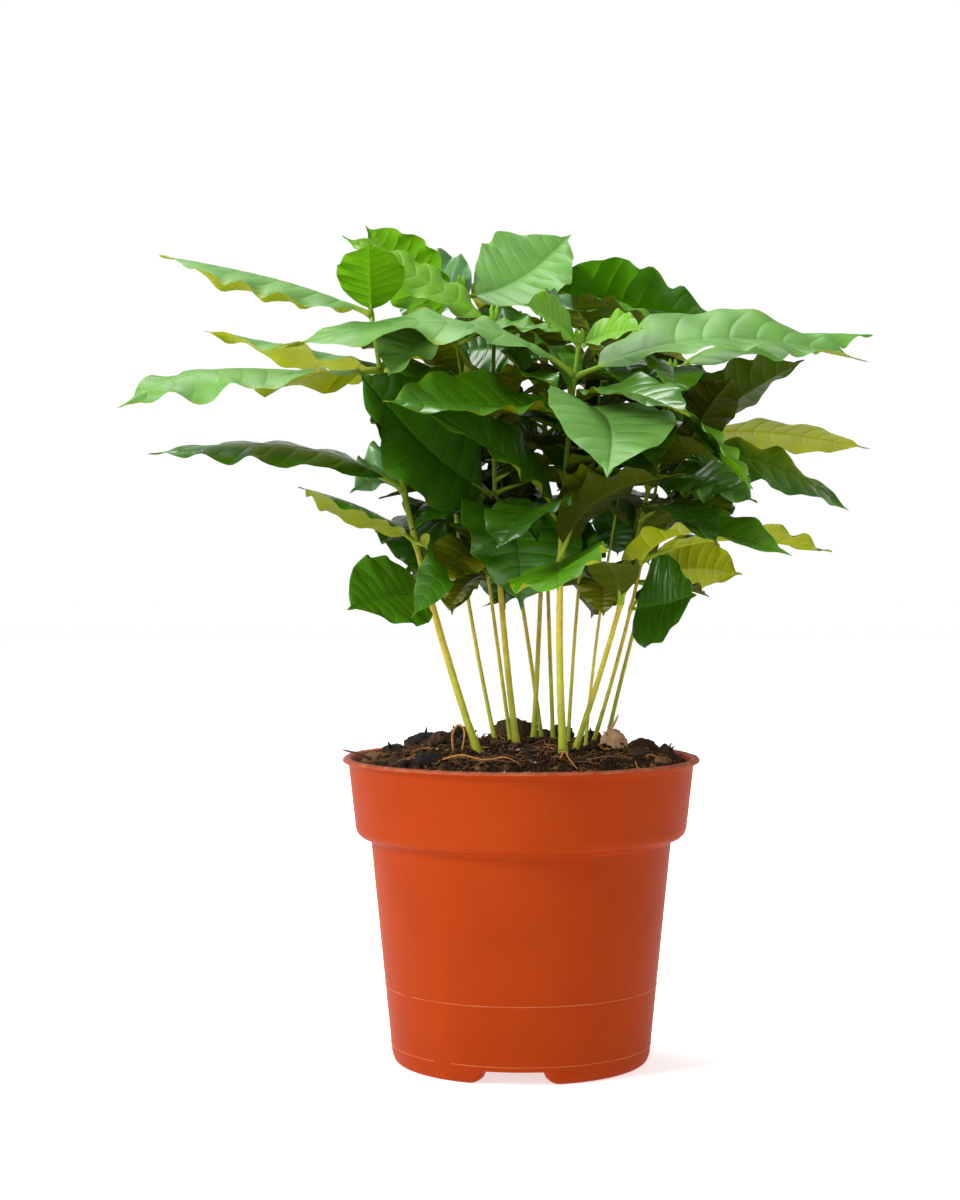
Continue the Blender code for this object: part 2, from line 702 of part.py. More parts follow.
def main():
    clear_scene()
    plant = add_collection("potted_coffee_plant")
    tools = add_collection("tools")
    materials = {name: make_material(name) for name in COLOURS}
    make_pot(plant, tools, materials["pot"])
    make_soil(plant, tools, materials["soil"])
    crowns = grow_leaves()
    for number, (seedling, leaves) in enumerate(zip(SEEDLINGS, crowns), 1):
        make_bare_stem(f"stem_{number:02d}", seedling, plant, materials["stem"])
        name = f"leaves_{number:02d}"
        make_leaf_mass(name, seedling, leaves, plant, tools, materials["leaf"])


main()
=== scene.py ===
"""Potted coffee plant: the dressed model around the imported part.

Thirteen seedlings grow from the same table and by the same rule as in the part's
own source. Each leaf is drawn finer, with veins, a quilted blade, pale margins and
a petiole, some leaves are turned or widened, and inner leaves are added. Pot and
soil are drawn finer too, and replace their plain solids.
"""

import math
import random
from collections import namedtuple

import bmesh
import bpy
import numpy as np
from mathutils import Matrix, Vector, noise
from mathutils.bvhtree import BVHTree


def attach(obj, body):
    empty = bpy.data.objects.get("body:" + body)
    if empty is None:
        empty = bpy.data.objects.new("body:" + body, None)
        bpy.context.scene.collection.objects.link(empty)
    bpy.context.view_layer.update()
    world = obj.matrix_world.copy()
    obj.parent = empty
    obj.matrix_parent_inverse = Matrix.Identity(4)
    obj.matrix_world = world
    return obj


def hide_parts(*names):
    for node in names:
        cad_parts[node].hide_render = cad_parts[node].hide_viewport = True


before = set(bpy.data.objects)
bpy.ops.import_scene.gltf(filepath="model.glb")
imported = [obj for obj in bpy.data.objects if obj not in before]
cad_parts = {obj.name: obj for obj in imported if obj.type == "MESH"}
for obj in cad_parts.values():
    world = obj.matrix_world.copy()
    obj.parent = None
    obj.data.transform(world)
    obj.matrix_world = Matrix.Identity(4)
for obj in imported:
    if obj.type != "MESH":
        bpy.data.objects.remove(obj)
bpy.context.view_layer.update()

MM = 0.001
UP = Vector((0.0, 0.0, 1.0))
CLEARANCE = 0.3 * MM

# The pot, as the part's source has it.
POT_HEIGHT = 102.5 * MM
RIM_RADIUS = 60.0 * MM
LIP_HEIGHT = 3.2 * MM
COLLAR_TOP_RADIUS = 57.8 * MM
COLLAR_FOOT_RADIUS = 55.6 * MM
COLLAR_FOOT_Z = 79.0 * MM
BODY_TOP_RADIUS = 50.4 * MM
BODY_TOP_Z = 74.2 * MM
BODY_FOOT_RADIUS = 43.4 * MM
BODY_FOOT_Z = 3.0 * MM
FOOT_OUTER_RADIUS = 41.4 * MM
FOOT_INNER_RADIUS = 38.4 * MM
FLOOR_Z = 5.0 * MM
WALL = 1.2 * MM
NOTCH_COUNT = 3
NOTCH_TURN = math.radians(-93.0)
NOTCH_HEIGHT = 4.2 * MM
NOTCH_TOP_WIDTH = 20.0 * MM
DRAIN_COUNT = 6
DRAIN_RADIUS = 4.0 * MM
DRAIN_RING_RADIUS = 27.0 * MM

# The soil, as the part's source has it.
SOIL_EDGE_Z = 99.6 * MM
SOIL_MIDDLE_Z = 107.5 * MM
SOIL_LUMP = 1.3 * MM
SOIL_LUMP_SPACING = 9.0 * MM
SOCKET_DEPTH = 4.0 * MM

# Stems and leaves, as the part's source has them.
STEM_TIP_SHARE = 0.55
FOOT_FLARE = 1.35
FLARE_HEIGHT = 6.0 * MM
STALK_SHARE = 0.085
STALK_HALF_WIDTH = 0.8 * MM
LEAF_STEPS = 10
LEAF_THICKNESS = 1.2 * MM
WAVE_HEIGHT = 0.062
WAVE_COUNT = 4.0
TWIST = math.radians(4.0)
SETTLE_STEPS = (0, 5, -5, 10, -10, 15, -15, 20, -20, 26, -26)
RULE_TRIES = 200
RULE_SWING = math.radians(12.0)
RULE_SWING_GROWTH = math.radians(0.8)
RULE_SHRINK = 0.5
CORE_LOW = Vector((-48.0, -86.0, 146.0)) * MM
CORE_HIGH = Vector((72.0, 86.0, 246.0)) * MM
SEED = 41

# What a leaf is tested against, as in the part's source: stems with a little room round
# them, and leaves made a little fatter, which count from their blade on for a leaf of
# the same stem.
STEM_TREE_STEPS = 12
STEM_TREE_ROOM = 0.6 * MM
ROOMY_LEAF = LEAF_THICKNESS * 1.7
BLADE_START = 0.16

# The notches' foot, drawn wider than the part's 27 mm, as its corners are rounded off.
NOTCH_FOOT_WIDTH = 31.0 * MM

# How finely pot and soil are drawn.
POT_SIDES = 360
DRAIN_SIDES = 24
SOIL_SIDES = 300
SOIL_RINGS = 120

# The two moulding lines: heights, half width, how much is missing, and parts round.
MOULD_LINES = (26.0 * MM, 6.2 * MM)
LINE_HALF = 0.17 * MM
LINE_GAPS = (-0.30, -0.26)
LINE_SIDES = 360

# How bright the studio is at the horizon and overhead, how high up it fades from one
# to the other, how much the floor glows, and its half width.
HORIZON_SKY = 1.0
OVERHEAD_SKY = 0.25
SKY_FADE = (0.28, 0.55)
FLOOR_GLOW = 0.62
FLOOR_REACH = 4.0

# The two lamps: name, place, size and watts. Both face the plant's middle.
LAMPS = (("key", (-0.95, -0.62, 0.85), 0.5, 15.0), ("top", (-0.15, 0.30, 1.25), 0.6, 11.0))
PLANT_MIDDLE = Vector((0.0, 0.0, 0.16))

# Where the camera stands, which way it looks, and its lens.
CAMERA_PLACE = (0.0, -0.8235, 0.175)
CAMERA_TURN = (math.radians(88.6), 0.0, math.radians(0.96))
CAMERA_LENS = 73.5
CAMERA_SENSOR = 36.0

Leaf = namedtuple("Leaf", "tip width arch roll twist sweep crest fold", defaults=(3, 0, 0, 0, 0.42, 13))
Seedling = namedtuple("Seedling", "foot top bow radius nodes")

# The seedlings' table of the part's source, in millimetres.
RULE = "rule"
SEEDLINGS = (
    Seedling((-13, -22), (-50, -14, 254), (-8, 0), 1.5, (
        (158, Leaf((-55, -50, 153), 27, 1, 40, -25), RULE),
        (174, Leaf((-71, -45, 192), 25, 3, -15, fold=5), Leaf((-35, -42, 150), 15, 6, 60, 0, -7)),
        (191, Leaf((-121, -30, 203), 34, 9, 5, fold=-7), RULE),
        (231, Leaf((-126.5, -56, 216.5), 38, 7.5, 10, 50, crest=0.65, fold=4), RULE),
        (249, Leaf((-121, -5, 270), 36, 3, 4, -85, crest=0.4, fold=2), Leaf((-49, -34, 271), 23, 1)),
    )),
    Seedling((-8, 2), (-29, 28, 250), (-6, 4), 0.85, (
        (164, Leaf((-23, -12, 150), 16, 4), RULE),
        (198, Leaf((-58, 5, 191), 30, 4, 20), RULE),
        (216, RULE, RULE),
        (230, Leaf((-109, 20, 247), 32, 1, -14, fold=-5), RULE),
        (247, Leaf((-54, 25, 284), 29, 2, -45), RULE),
    )),
    Seedling((-1, -12), (-9, 2, 250), (-6, 0), 1.3, (
        (172, RULE, RULE),
        (190, Leaf((-53, -36, 230), 42, -4, 72), RULE),
        (214, Leaf((-20, -22, 237), 24, 2, 45), RULE),
        (247, Leaf((-60, -2, 277), 32, 1, 25, fold=0), Leaf((14, 30, 236), 24, 4)),
    )),
    Seedling((-3, 1), (-22, -4, 244), (0, 0), 0.8, (
        (163, Leaf((-24, 4, 152), 17), RULE),
        (186, Leaf((0, -28, 152), 34, 12), RULE),
        (212, RULE, RULE),
        (240, Leaf((-43, -40, 227), 28, 6, 10), RULE),
    )),
    Seedling((4, 2), (9, 30, 254), (2, -2), 1.05, (
        (178, Leaf((-2, -14, 165), 30, 8), RULE),
        (206, RULE, RULE),
        (222, Leaf((-7, 5, 239), 26, 2, 50), RULE),
        (251, RULE, RULE),
    )),
    Seedling((7.5, 6), (-21, 40, 264), (4, -4), 0.85, (
        (176, RULE, RULE),
        (204, RULE, RULE),
        (234, RULE, RULE),
        (261, Leaf((18, 52, 284), 36, -5, -44), RULE),
    )),
    Seedling((11, 2), (7, 54, 268), (-1, -6), 0.85, (
        (180, RULE, RULE),
        (210, RULE, RULE),
        (238, RULE, RULE),
        (265, Leaf((73, 50, 254), 37, -1, 34, -40, fold=0), Leaf((-12, 90, 256), 32, 4, 6)),
    )),
    Seedling((14, -26), (19, -22, 240), (-7, 0), 1.5, (
        (168, Leaf((11, -90, 160), 36, 2, -22, fold=4), RULE),
        (183, Leaf((-34, -55, 218), 38, 4, 38), Leaf((38, -40, 197), 20, 4, 15)),
        (217, Leaf((-43, -50, 218), 30, 0.5, 4, fold=32), Leaf((26, -78, 194), 38, 7, 8, 0, -6)),
        (228, Leaf((-79, -40, 236), 34, 14, 9, fold=-4), Leaf((115, -10, 234), 37, 10, -25, crest=0.47)),
        (238, Leaf((1, -45, 250), 14, 2, 60), Leaf((39, -35, 243), 16, 1, -35)),
    )),
    Seedling((15.5, -6), (28, 14, 234), (-3, -2), 0.75, (
        (170, RULE, RULE),
        (200, RULE, RULE),
        (231, Leaf((8, -4, 259), 26, 3, 35), RULE),
    )),
    Seedling((16.5, -18), (48, -16, 226), (6, -5), 1.15, (
        (154, Leaf((86, -46, 170), 30, 17, -5, -50, crest=0.4), RULE),
        (192, Leaf((76, -34, 187), 32, 5, -22, fold=5), RULE),
        (222, Leaf((73, -50, 191), 22, 0, 25, fold=20), RULE),
    )),
    Seedling((21, -13), (38, 4, 214), (-4, 2), 0.65, (
        (160, Leaf((27, -34, 150), 18, 4), RULE),
        (196, RULE, RULE),
    )),
    Seedling((23, 2), (51, 4, 232), (7, 0), 0.85, (
        (152, Leaf((58, -14, 157), 40, -1, -62), RULE),
        (168, Leaf((107, 20, 171), 28, 6, 10), RULE),
        (204, Leaf((111, 8, 185), 32, 7, -15, crest=0.5, fold=-2), RULE),
        (229, Leaf((123.5, 40, 247), 32, 8, 8, crest=0.36), RULE),
    )),
    Seedling((28.5, 20), (61, 38, 216), (-3, 0), 0.9, (
        (160, Leaf((77, 24, 163), 26, 4, 50), RULE),
        (190, RULE, RULE),
        (205, Leaf((99, 35, 238), 34, 4, 30), Leaf((50, 10, 228), 22, 2)),
        (212, Leaf((122, 36, 207), 31, 3, 15, fold=-4), RULE),
    )),
)

# How each leaf looks, where it isn't what its height gives: seedling, node, side.
TONES = {
    (1, 0, 0): "deep", (1, 1, 0): "deep", (1, 1, 1): "deep", (1, 2, 0): "dark",
    (1, 3, 0): "pale", (1, 3, 1): "pale", (1, 4, 0): "pale", (1, 4, 1): "fresh",
    (2, 0, 0): "olive", (2, 1, 0): "gloss", (2, 3, 0): "pale", (2, 4, 0): "fresh",
    (3, 1, 0): "dark", (3, 2, 0): "dark", (3, 3, 0): "fresh", (3, 3, 1): "mid",
    (4, 0, 0): "olive", (4, 1, 0): "dark", (4, 3, 0): "pale",
    (5, 0, 0): "dark", (5, 2, 0): "mid",
    (6, 3, 0): "pale",
    (7, 3, 0): "lit", (7, 3, 1): "mid",
    (8, 0, 0): "mid", (8, 1, 0): "deep", (8, 1, 1): "deep", (8, 2, 0): "deep",
    (8, 2, 1): "pale", (8, 3, 0): "pale", (8, 3, 1): "pale",
    (8, 4, 0): "fresh", (8, 4, 1): "fresh",
    (9, 2, 0): "gloss",
    (10, 0, 0): "mid", (10, 1, 0): "deep", (10, 2, 0): "fresh",
    (11, 0, 0): "olive",
    (12, 0, 0): "dark", (12, 1, 0): "mid", (12, 2, 0): "deep", (12, 3, 0): "lit",
    (13, 0, 0): "mid", (13, 2, 0): "shade", (13, 3, 0): "mid",
}
# The tone that a height gives: lower leaves get darker colours, partly the older leaves' own deeper green
# and partly painted shade inside the crown.
TONE_BY_HEIGHT = ((212.0, "inner"), (240.0, "deep"), (400.0, "mid"))

# Leaf colours, linear: upper face, underside, veins above and veins below. Besides each leaf's own green
# they hold painted light: undersides are lighter where light would shine through the leaf, a painted glow,
# and darker deep in the crown, painted shade.
LEAF_COLOURS = {
    "inner": ((0.018, 0.075, 0.0015), (0.050, 0.065, 0.0012), (0.026, 0.095, 0.003), (0.065, 0.085, 0.003)),
    "dark": ((0.030, 0.120, 0.0018), (0.090, 0.115, 0.0015), (0.045, 0.155, 0.005), (0.11, 0.14, 0.004)),
    "deep": ((0.045, 0.160, 0.0022), (0.160, 0.195, 0.0015), (0.065, 0.200, 0.007), (0.19, 0.23, 0.006)),
    "shade": ((0.030, 0.120, 0.0018), (0.055, 0.100, 0.0015), (0.045, 0.155, 0.005), (0.075, 0.125, 0.004)),
    "mid": ((0.070, 0.220, 0.003), (0.260, 0.300, 0.002), (0.095, 0.265, 0.010), (0.31, 0.35, 0.010)),
    # pale: an upper face whose whitish tint is a painted sheen of the bright studio.
    "pale": ((0.130, 0.308, 0.058), (0.275, 0.320, 0.002), (0.150, 0.325, 0.068), (0.33, 0.37, 0.010)),
    # gloss: an upper face whose grey-blue tint is a painted reflection.
    "gloss": ((0.100, 0.240, 0.080), (0.130, 0.165, 0.002), (0.125, 0.275, 0.095), (0.17, 0.21, 0.010)),
    "lit": ((0.110, 0.300, 0.025), (0.095, 0.315, 0.0004), (0.130, 0.340, 0.040), (0.090, 0.290, 0.002)),
    "fresh": ((0.135, 0.345, 0.006), (0.110, 0.300, 0.0010), (0.160, 0.380, 0.018), (0.135, 0.335, 0.005)),
    "olive": ((0.100, 0.120, 0.002), (0.125, 0.150, 0.002), (0.12, 0.14, 0.005), (0.15, 0.175, 0.005)),
}

# Leaves whose drawn blade turns or spreads otherwise than its plain solid: roll,
# twist and fold in degrees, how much wider it is, how much calmer its waves, and
# how far its margins curl up as a share of its half width.
Dress = namedtuple("Dress", "roll twist fold wider calm curl", defaults=(None, None, None, 1.0, 1.0, 0.0))
DRESSES = {
    (1, 0, 0): Dress(48, -15, wider=1.15, calm=0.6),
    (1, 1, 0): Dress(0, 10, -18, calm=0.8),
    (1, 2, 0): Dress(14, 0),
    (1, 3, 0): Dress(-1, 60, -14),
    (1, 4, 0): Dress(0, -12, -20),
    (2, 1, 0): Dress(30),
    (2, 3, 0): Dress(-8, 0, -14),
    (3, 1, 0): Dress(wider=1.08),
    (4, 1, 0): Dress(wider=1.4),
    (6, 3, 0): Dress(wider=1.12),
    (7, 3, 0): Dress(wider=1.32),
    (8, 0, 0): Dress(wider=0.9),
    (8, 2, 1): Dress(wider=1.12, calm=0.7),
    (8, 2, 0): Dress(24, 26, 8, curl=0.25),
    (8, 3, 0): Dress(16, wider=1.1),
    (8, 4, 0): Dress(wider=1.35),
    (8, 4, 1): Dress(wider=1.35),
    (9, 2, 0): Dress(wider=1.2),
    (12, 3, 0): Dress(-8, 0, -14, wider=1.2),
    (12, 0, 0): Dress(wider=0.9, calm=0.5),
    (12, 2, 0): Dress(-24, wider=1.2),
    (13, 2, 0): Dress(calm=0.7),
    (13, 3, 0): Dress(wider=1.1, calm=0.4),
}

# Leaves inside the crown that only the drawn foliage has: seedling, base height,
# the leaf as in the seedlings' table, and its tone. One that finds no room is left out.
FILLERS = (
    (4, 190, Leaf((-46, 5, 173), 34, 6, 45), "inner"),
    (3, 196, Leaf((-44, -6, 178), 30, 5, 50), "inner"),
    (7, 184, Leaf((16.5, 0, 155), 36, 8), "inner"),
    (12, 190, Leaf((62, -2, 180), 38, 6, -58), "inner"),
    (9, 196, Leaf((42, -8, 186), 32, 5, -55), "dark"),
    (5, 174, Leaf((-6, -12, 151), 34, 7), "inner"),
    (6, 166, Leaf((12, 6, 148.5), 26, 4), "olive"),
    (3, 168, Leaf((-34, -8, 158), 26, 5, 25), "olive"),
    (6, 256, Leaf((-44, 36, 263), 34, 3, 52), "gloss"),
    (5, 236, Leaf((-25, 12, 240), 30, 4, 60), "dark"),
    (9, 228, Leaf((52, 8, 226), 30, 4, -20), "inner"),
    (13, 196, Leaf((66, 8, 182), 34, 5, -50), "inner"),
    (9, 180, Leaf((36, -8, 166), 30, 6, -50), "inner"),
    (7, 214, Leaf((-18, 14, 206), 34, 6, 55), "inner"),
    (11, 206, Leaf((62, -4, 204), 34, 6, -55), "dark"),
    (13, 214, Leaf((58, 28, 238), 32, 3, 0), "shade"),
)

# To find room, a listed inner leaf moves back or forward in millimetres, or shrinks.
FILLER_SHIFTS = (0, 4, -4, 8, -8, 12, -12, 17, -17, 22, -22)
FILLER_SIZES = (1.0, 0.88, 0.76)

# More inner leaves follow the rule in pairs, at even spaces in millimetres up each stem
# to a little below its tip. None of them reaches into the crown's upper front.
FILLER_LOW = 168.0
FILLER_SPACING = 13.0
FILLER_BELOW_TIP = 8.0
FILLER_TRIES = 60
FILLER_SWING = 0.9
FILLER_SHRINK = 0.45
FILLER_NODE = 9
UPPER_FRONT_Z = 215.0 * MM
UPPER_FRONT_Y = -14.0 * MM

# How thick the leaves are when an inner one is tested for room.
THIN_LEAF = 0.4 * MM

# Roughness from and to, and specular level, of upper faces.
SATIN = ((0.40, 0.52), 0.22)
GLOSSY = ((0.24, 0.36), 0.42)
SATIN_TONES = ("pale", "lit", "fresh", "mid")

# Other materials: the two colours that mix, roughness from and to, scale, specular
# level, and relief with its scale.
LOOKS = {
    "stem_bark": (((0.62, 0.60, 0.50), (1.0, 1.0, 1.0)), (0.42, 0.6), 260.0, 0.12, 0.5, 700.0),
    "petiole": (((0.16, 0.28, 0.015), (0.27, 0.37, 0.025)), (0.4, 0.5), 160.0, 0.12, 0.2),
    "bud": (((0.16, 0.38, 0.02), (0.26, 0.50, 0.03)), (0.3, 0.4), 200.0, 0.2, 0.2),
    "terracotta_plastic": (
        ((0.300, 0.031, 0.0022), (0.350, 0.040, 0.0030)), (0.46, 0.56), 24.0, 0.045, 0.06, 1400.0,
    ),
    # The top of the lip is drawn paler than the wall.
    "pale_lip": (((0.25, 0.034, 0.006), (0.45, 0.13, 0.065)), (0.5, 0.65), 180.0, 0.15, 0.5, 900.0),
    # The mould lines are paler than the wall: a painted highlight along each raised line.
    "mould_line": (((0.40, 0.075, 0.015), (0.52, 0.14, 0.06)), (0.4, 0.55), 120.0, 0.1, 0.2, 900.0),
    "peat": (((0.009, 0.0045, 0.0022), (0.046, 0.017, 0.006)), (0.8, 0.98), 420.0, 0.12, 1.0, 1100.0),
    "floor_pale": (((0.88, 0.88, 0.88), (0.91, 0.91, 0.91)), (0.75, 0.85), 6.0, 0.5),
}

# The two colours of each kind of grain on the soil, and of bark, husk and roots.
CRUMB_COLOURS = {
    "grain_black": ((0.007, 0.004, 0.0025), (0.020, 0.010, 0.005)),
    "grain_brown": ((0.034, 0.013, 0.005), (0.080, 0.032, 0.011)),
    "grain_tan": ((0.13, 0.055, 0.018), (0.22, 0.10, 0.036)),
    "grain_moss": ((0.035, 0.045, 0.007), (0.085, 0.100, 0.014)),
    "grain_pale": ((0.45, 0.42, 0.36), (0.62, 0.58, 0.50)),
}
LITTER_COLOURS = {
    "bark_black": ((0.007, 0.005, 0.004), (0.020, 0.013, 0.010)),
    "bark_brown": ((0.028, 0.014, 0.008), (0.065, 0.030, 0.015)),
    "bark_dry": ((0.11, 0.05, 0.02), (0.20, 0.10, 0.045)),
    "husk": ((0.34, 0.19, 0.09), (0.52, 0.34, 0.19)),
    "root_orange": ((0.38, 0.15, 0.03), (0.55, 0.26, 0.07)),
    "root_brown": ((0.10, 0.045, 0.018), (0.22, 0.11, 0.045)),
}

# The materials of a leaf, in the order of its colours: name, how dark and how light
# it gets, roughness and specular level where not the upper face's, scale and relief.
LEAF_FACES = (
    ("upper", 0.84, 1.14, None, 90.0, 0.05),
    ("under", 0.86, 1.12, ((0.5, 0.62), 0.08), 90.0, 0.05),
    ("vein", 0.9, 1.1, None, 120.0, 0.0),
    ("rib", 0.9, 1.1, ((0.45, 0.55), 0.08), 120.0, 0.0),
)

# How round limbs are drawn, and how the stems are: slimmer than the solids, in short
# steps, uneven, and swollen where leaves grow.
STEM_SIDES = 14
PETIOLE_SIDES = 9
BUD_SIDES = 8
ROOT_SIDES = 6
STEM_SLIM = 0.86
STEM_STEP = 1.4 * MM
STEM_RELIEF = 0.10
NODE_SWELL = 0.42
NODE_REACH = 1.5 * MM

# How a blade is drawn: its side veins, their places and sweep towards the tip, its
# ribs, margins and relief, how full its outline is, and how finely it is cut.
VEINS = 9
FIRST_VEIN = 0.075
VEIN_SPAN = 0.80
VEIN_CROWDING = 0.96
VEIN_HALF = 0.24 * MM
MARGIN_WIDTH = 0.45 * MM
MIDRIB_HALF = 0.62 * MM
MIDRIB_TAPER = 0.62
MIDRIB_RELIEF = 1.6
BLADE_THICKNESS = 0.42 * MM
VEIN_RELIEF_ABOVE = 0.10 * MM
VEIN_RELIEF_BELOW = 0.30 * MM
VEIN_END = 0.97
VEIN_FADE = 0.3
SWEEP = 0.42
QUILT = 0.008
CAMBER = 0.08
FULLNESS = 0.68
TIP_TAPER = 0.24
WAVE_TRIM = 0.85
COLUMNS = 12
FRAME_SAMPLES = 140


# --- the part's rule, written again -------------------------------------------


def soil_height(x, y):
    """The mound's height over a place, with its lumps."""
    share = min(math.hypot(x, y) / (COLLAR_TOP_RADIUS - WALL), 1.0)
    mound = SOIL_EDGE_Z + (SOIL_MIDDLE_Z - SOIL_EDGE_Z) * math.cos(share * math.pi / 2) ** 0.8
    place = Vector((x, y, 0.0)) / SOIL_LUMP_SPACING
    return mound + SOIL_LUMP * noise.noise(place) * (1.0 - share**4)


def foot_of(seedling):
    """The stem's lowest point, a little above the bottom of its socket in the soil."""
    x, y = seedling.foot[0] * MM, seedling.foot[1] * MM
    return Vector((x, y, soil_height(x, y) - SOCKET_DEPTH + CLEARANCE))


def stem_point(seedling, height):
    """The stem's middle at a height: a curve from foot to tip that bows aside."""
    foot = foot_of(seedling)
    top = Vector(seedling.top) * MM
    share = (height - foot.z) / (top.z - foot.z)
    bow = Vector((*seedling.bow, 0.0)) * MM
    return foot.lerp(top, share) + bow * (2 * share * (1 - share))


def stem_radius(seedling, height):
    """Tapers from foot to tip, with a flare just above the soil."""
    foot = foot_of(seedling)
    share = (height - foot.z) / (seedling.top[2] * MM - foot.z)
    radius = seedling.radius * MM * (1.0 - (1.0 - STEM_TIP_SHARE) * share)
    above = max(height - foot.z - SOCKET_DEPTH, 0.0)
    return radius * (1.0 + (FOOT_FLARE - 1.0) * math.exp(-above / FLARE_HEIGHT * 2))


def stem_run(seedling, start, end, steps):
    """The stem's middle points and radii at even steps between two heights."""
    heights = [start + (end - start) * step / steps for step in range(steps + 1)]
    points = [stem_point(seedling, height) for height in heights]
    radii = [stem_radius(seedling, height) for height in heights]
    return points, radii


def blade_share(share):
    """A coffee blade's width over its length: widest near the middle, with a drip tip."""
    if share <= 0.0 or share >= 1.0:
        return 0.0
    body = math.sin(math.pi * min(share / 0.93, 1.0) ** 0.92) ** 0.82 if share < 0.93 else 0.0
    drip = 0.13 * (1.0 - share) / 0.18 if share > 0.8 else 0.0
    return max(body, drip)


def midrib(leaf, share):
    """The midrib's place at a share of the way from the stem to the tip."""
    chord = leaf["tip"] - leaf["base"]
    lift = (UP - chord * (UP.dot(chord) / chord.length_squared)).normalized()
    aside = chord.cross(UP).normalized()
    rise = math.sin(math.pi * share ** (math.log(0.5) / math.log(leaf["crest"])))
    bend = math.sin(math.pi * share)
    return leaf["base"] + chord * share + lift * leaf["arch"] * rise + aside * leaf["sweep"] * bend


def blade_place(share):
    """A share of the way from the stem to the tip as one of the blade: 0 where it starts."""
    return (share - STALK_SHARE) / (1.0 - STALK_SHARE)


def wave_fade(blade):
    """The margins' waves die out towards both ends of the blade."""
    return math.sin(math.pi * min(max(blade, 0.0), 1.0)) ** 0.5


def leaf_frame(leaf, share):
    """Midrib, crosswise, normal, half width and the two margins' waves at a share."""
    middle = midrib(leaf, share)
    along = midrib(leaf, min(share + 0.02, 1.0)) - midrib(leaf, max(share - 0.02, 0.0))
    along.normalize()
    right = along.cross(UP).normalized()
    up = right.cross(along)
    roll = leaf["roll"] + leaf["twist"] * (share - 0.4)
    aside = right * math.cos(roll) + up * math.sin(roll)
    normal = up * math.cos(roll) - right * math.sin(roll)
    blade = blade_place(share)
    half = max(leaf["width"] / 2 * blade_share(blade), STALK_HALF_WIDTH * (1.0 - share))
    fade = wave_fade(blade)
    waves = []
    for phase in (leaf["phase"], leaf["phase"] + leaf["shift"]):
        waves.append(leaf["wave"] * fade * math.sin(math.tau * WAVE_COUNT * blade + phase))
    return middle, aside, normal, half, waves


def leaf_rows(leaf, steps, start=0.0):
    """Left margin, midrib and right margin at each step, with the blade's normal."""
    rows = []
    for step in range(steps + 1):
        share = start + (1.0 - start) * step / steps
        middle, aside, normal, half, waves = leaf_frame(leaf, share)
        row = [middle]
        for side, wave in zip((-1, 1), waves):
            margin = middle + aside * (side * half * math.cos(leaf["fold"]))
            margin += normal * (half * math.sin(leaf["fold"]) + wave)
            row.append(margin)
        rows.append((row[1], row[0], row[2], normal))
    return rows


def leaf_shell(leaf, steps, thickness, start=0.0):
    """Points and faces of a closed leaf: thick at the midrib and thin at its margins."""
    points, faces = [], []
    rows = leaf_rows(leaf, steps, start)
    for left, middle, right, normal in rows[:-1]:
        points += [left, middle + normal * thickness / 2, right, middle - normal * thickness / 2]
    points.append(rows[-1][1])
    for step in range(steps - 1):
        first = 4 * step
        for side in range(4):
            near, far = first + side, first + (side + 1) % 4
            faces.append((near, far, far + 4, near + 4))
    last = 4 * (steps - 1)
    faces += [(last + side, last + (side + 1) % 4, last + 4) for side in range(4)]
    faces.append((3, 2, 1, 0))
    return points, faces


def leaf_from(seedling, height, row, rng):
    """A leaf's numbers in metres and radians, with its own slight chance turns."""
    width = row.width * MM
    return {
        "base": stem_point(seedling, height * MM),
        "tip": Vector(row.tip) * MM,
        "width": width,
        "arch": row.arch * MM,
        "roll": math.radians(row.roll),
        "twist": math.radians(row.twist) + rng.uniform(-TWIST, TWIST),
        "sweep": row.sweep * MM,
        "crest": row.crest,
        "fold": math.radians(row.fold) * rng.uniform(0.8, 1.2),
        "wave": width * WAVE_HEIGHT * rng.uniform(0.7, 1.3),
        "phase": rng.uniform(0.0, math.tau),
        "shift": rng.uniform(1.5, 4.5),
    }


def rule_row(seedling, height, turn, size, rng):
    """A leaf by the rule: outward at a turn, rising or drooping a little."""
    base = stem_point(seedling, height * MM) / MM
    length = rng.uniform(56, 90) * size
    rise = math.radians(rng.uniform(-16, 36))
    reach = length * math.cos(rise)
    tip = base + Vector((reach * math.cos(turn), reach * math.sin(turn), length * math.sin(rise)))
    width = length * rng.uniform(0.38, 0.45)
    return Leaf(tuple(tip), width, rng.uniform(3, 11), rng.uniform(-22, 22), rng.uniform(-20, 20))


def grow_leaves():
    """Place every leaf so that none touches a stem or another leaf."""
    crowd = Crowd(1.0, STEM_TREE_ROOM, ROOMY_LEAF)
    crowns = [[] for _ in SEEDLINGS]
    for fixed in (True, False):
        for owner, seedling in enumerate(SEEDLINGS):
            for index, (height, *pair) in enumerate(seedling.nodes):
                for side, row in enumerate(pair):
                    if (row is RULE) == fixed:
                        continue
                    rng = random.Random(SEED * 10000 + owner * 100 + index * 10 + side)
                    leaf = settle(owner, height, index, pair, side, rng, crowd)
                    if leaf:
                        leaf["tone"] = tone_of(owner, index, side, height)
                        leaf["key"] = (owner + 1, index, side)
                        crowns[owner].append(leaf)
    return crowns


def dress(leaf, change):
    """Turn or spread a placed leaf's blade for the drawn foliage."""
    leaf["width"] *= change.wider
    leaf["wave"] *= change.calm
    leaf["curl"] = change.curl
    for name in ("roll", "twist", "fold"):
        if getattr(change, name) is not None:
            leaf[name] = math.radians(getattr(change, name))


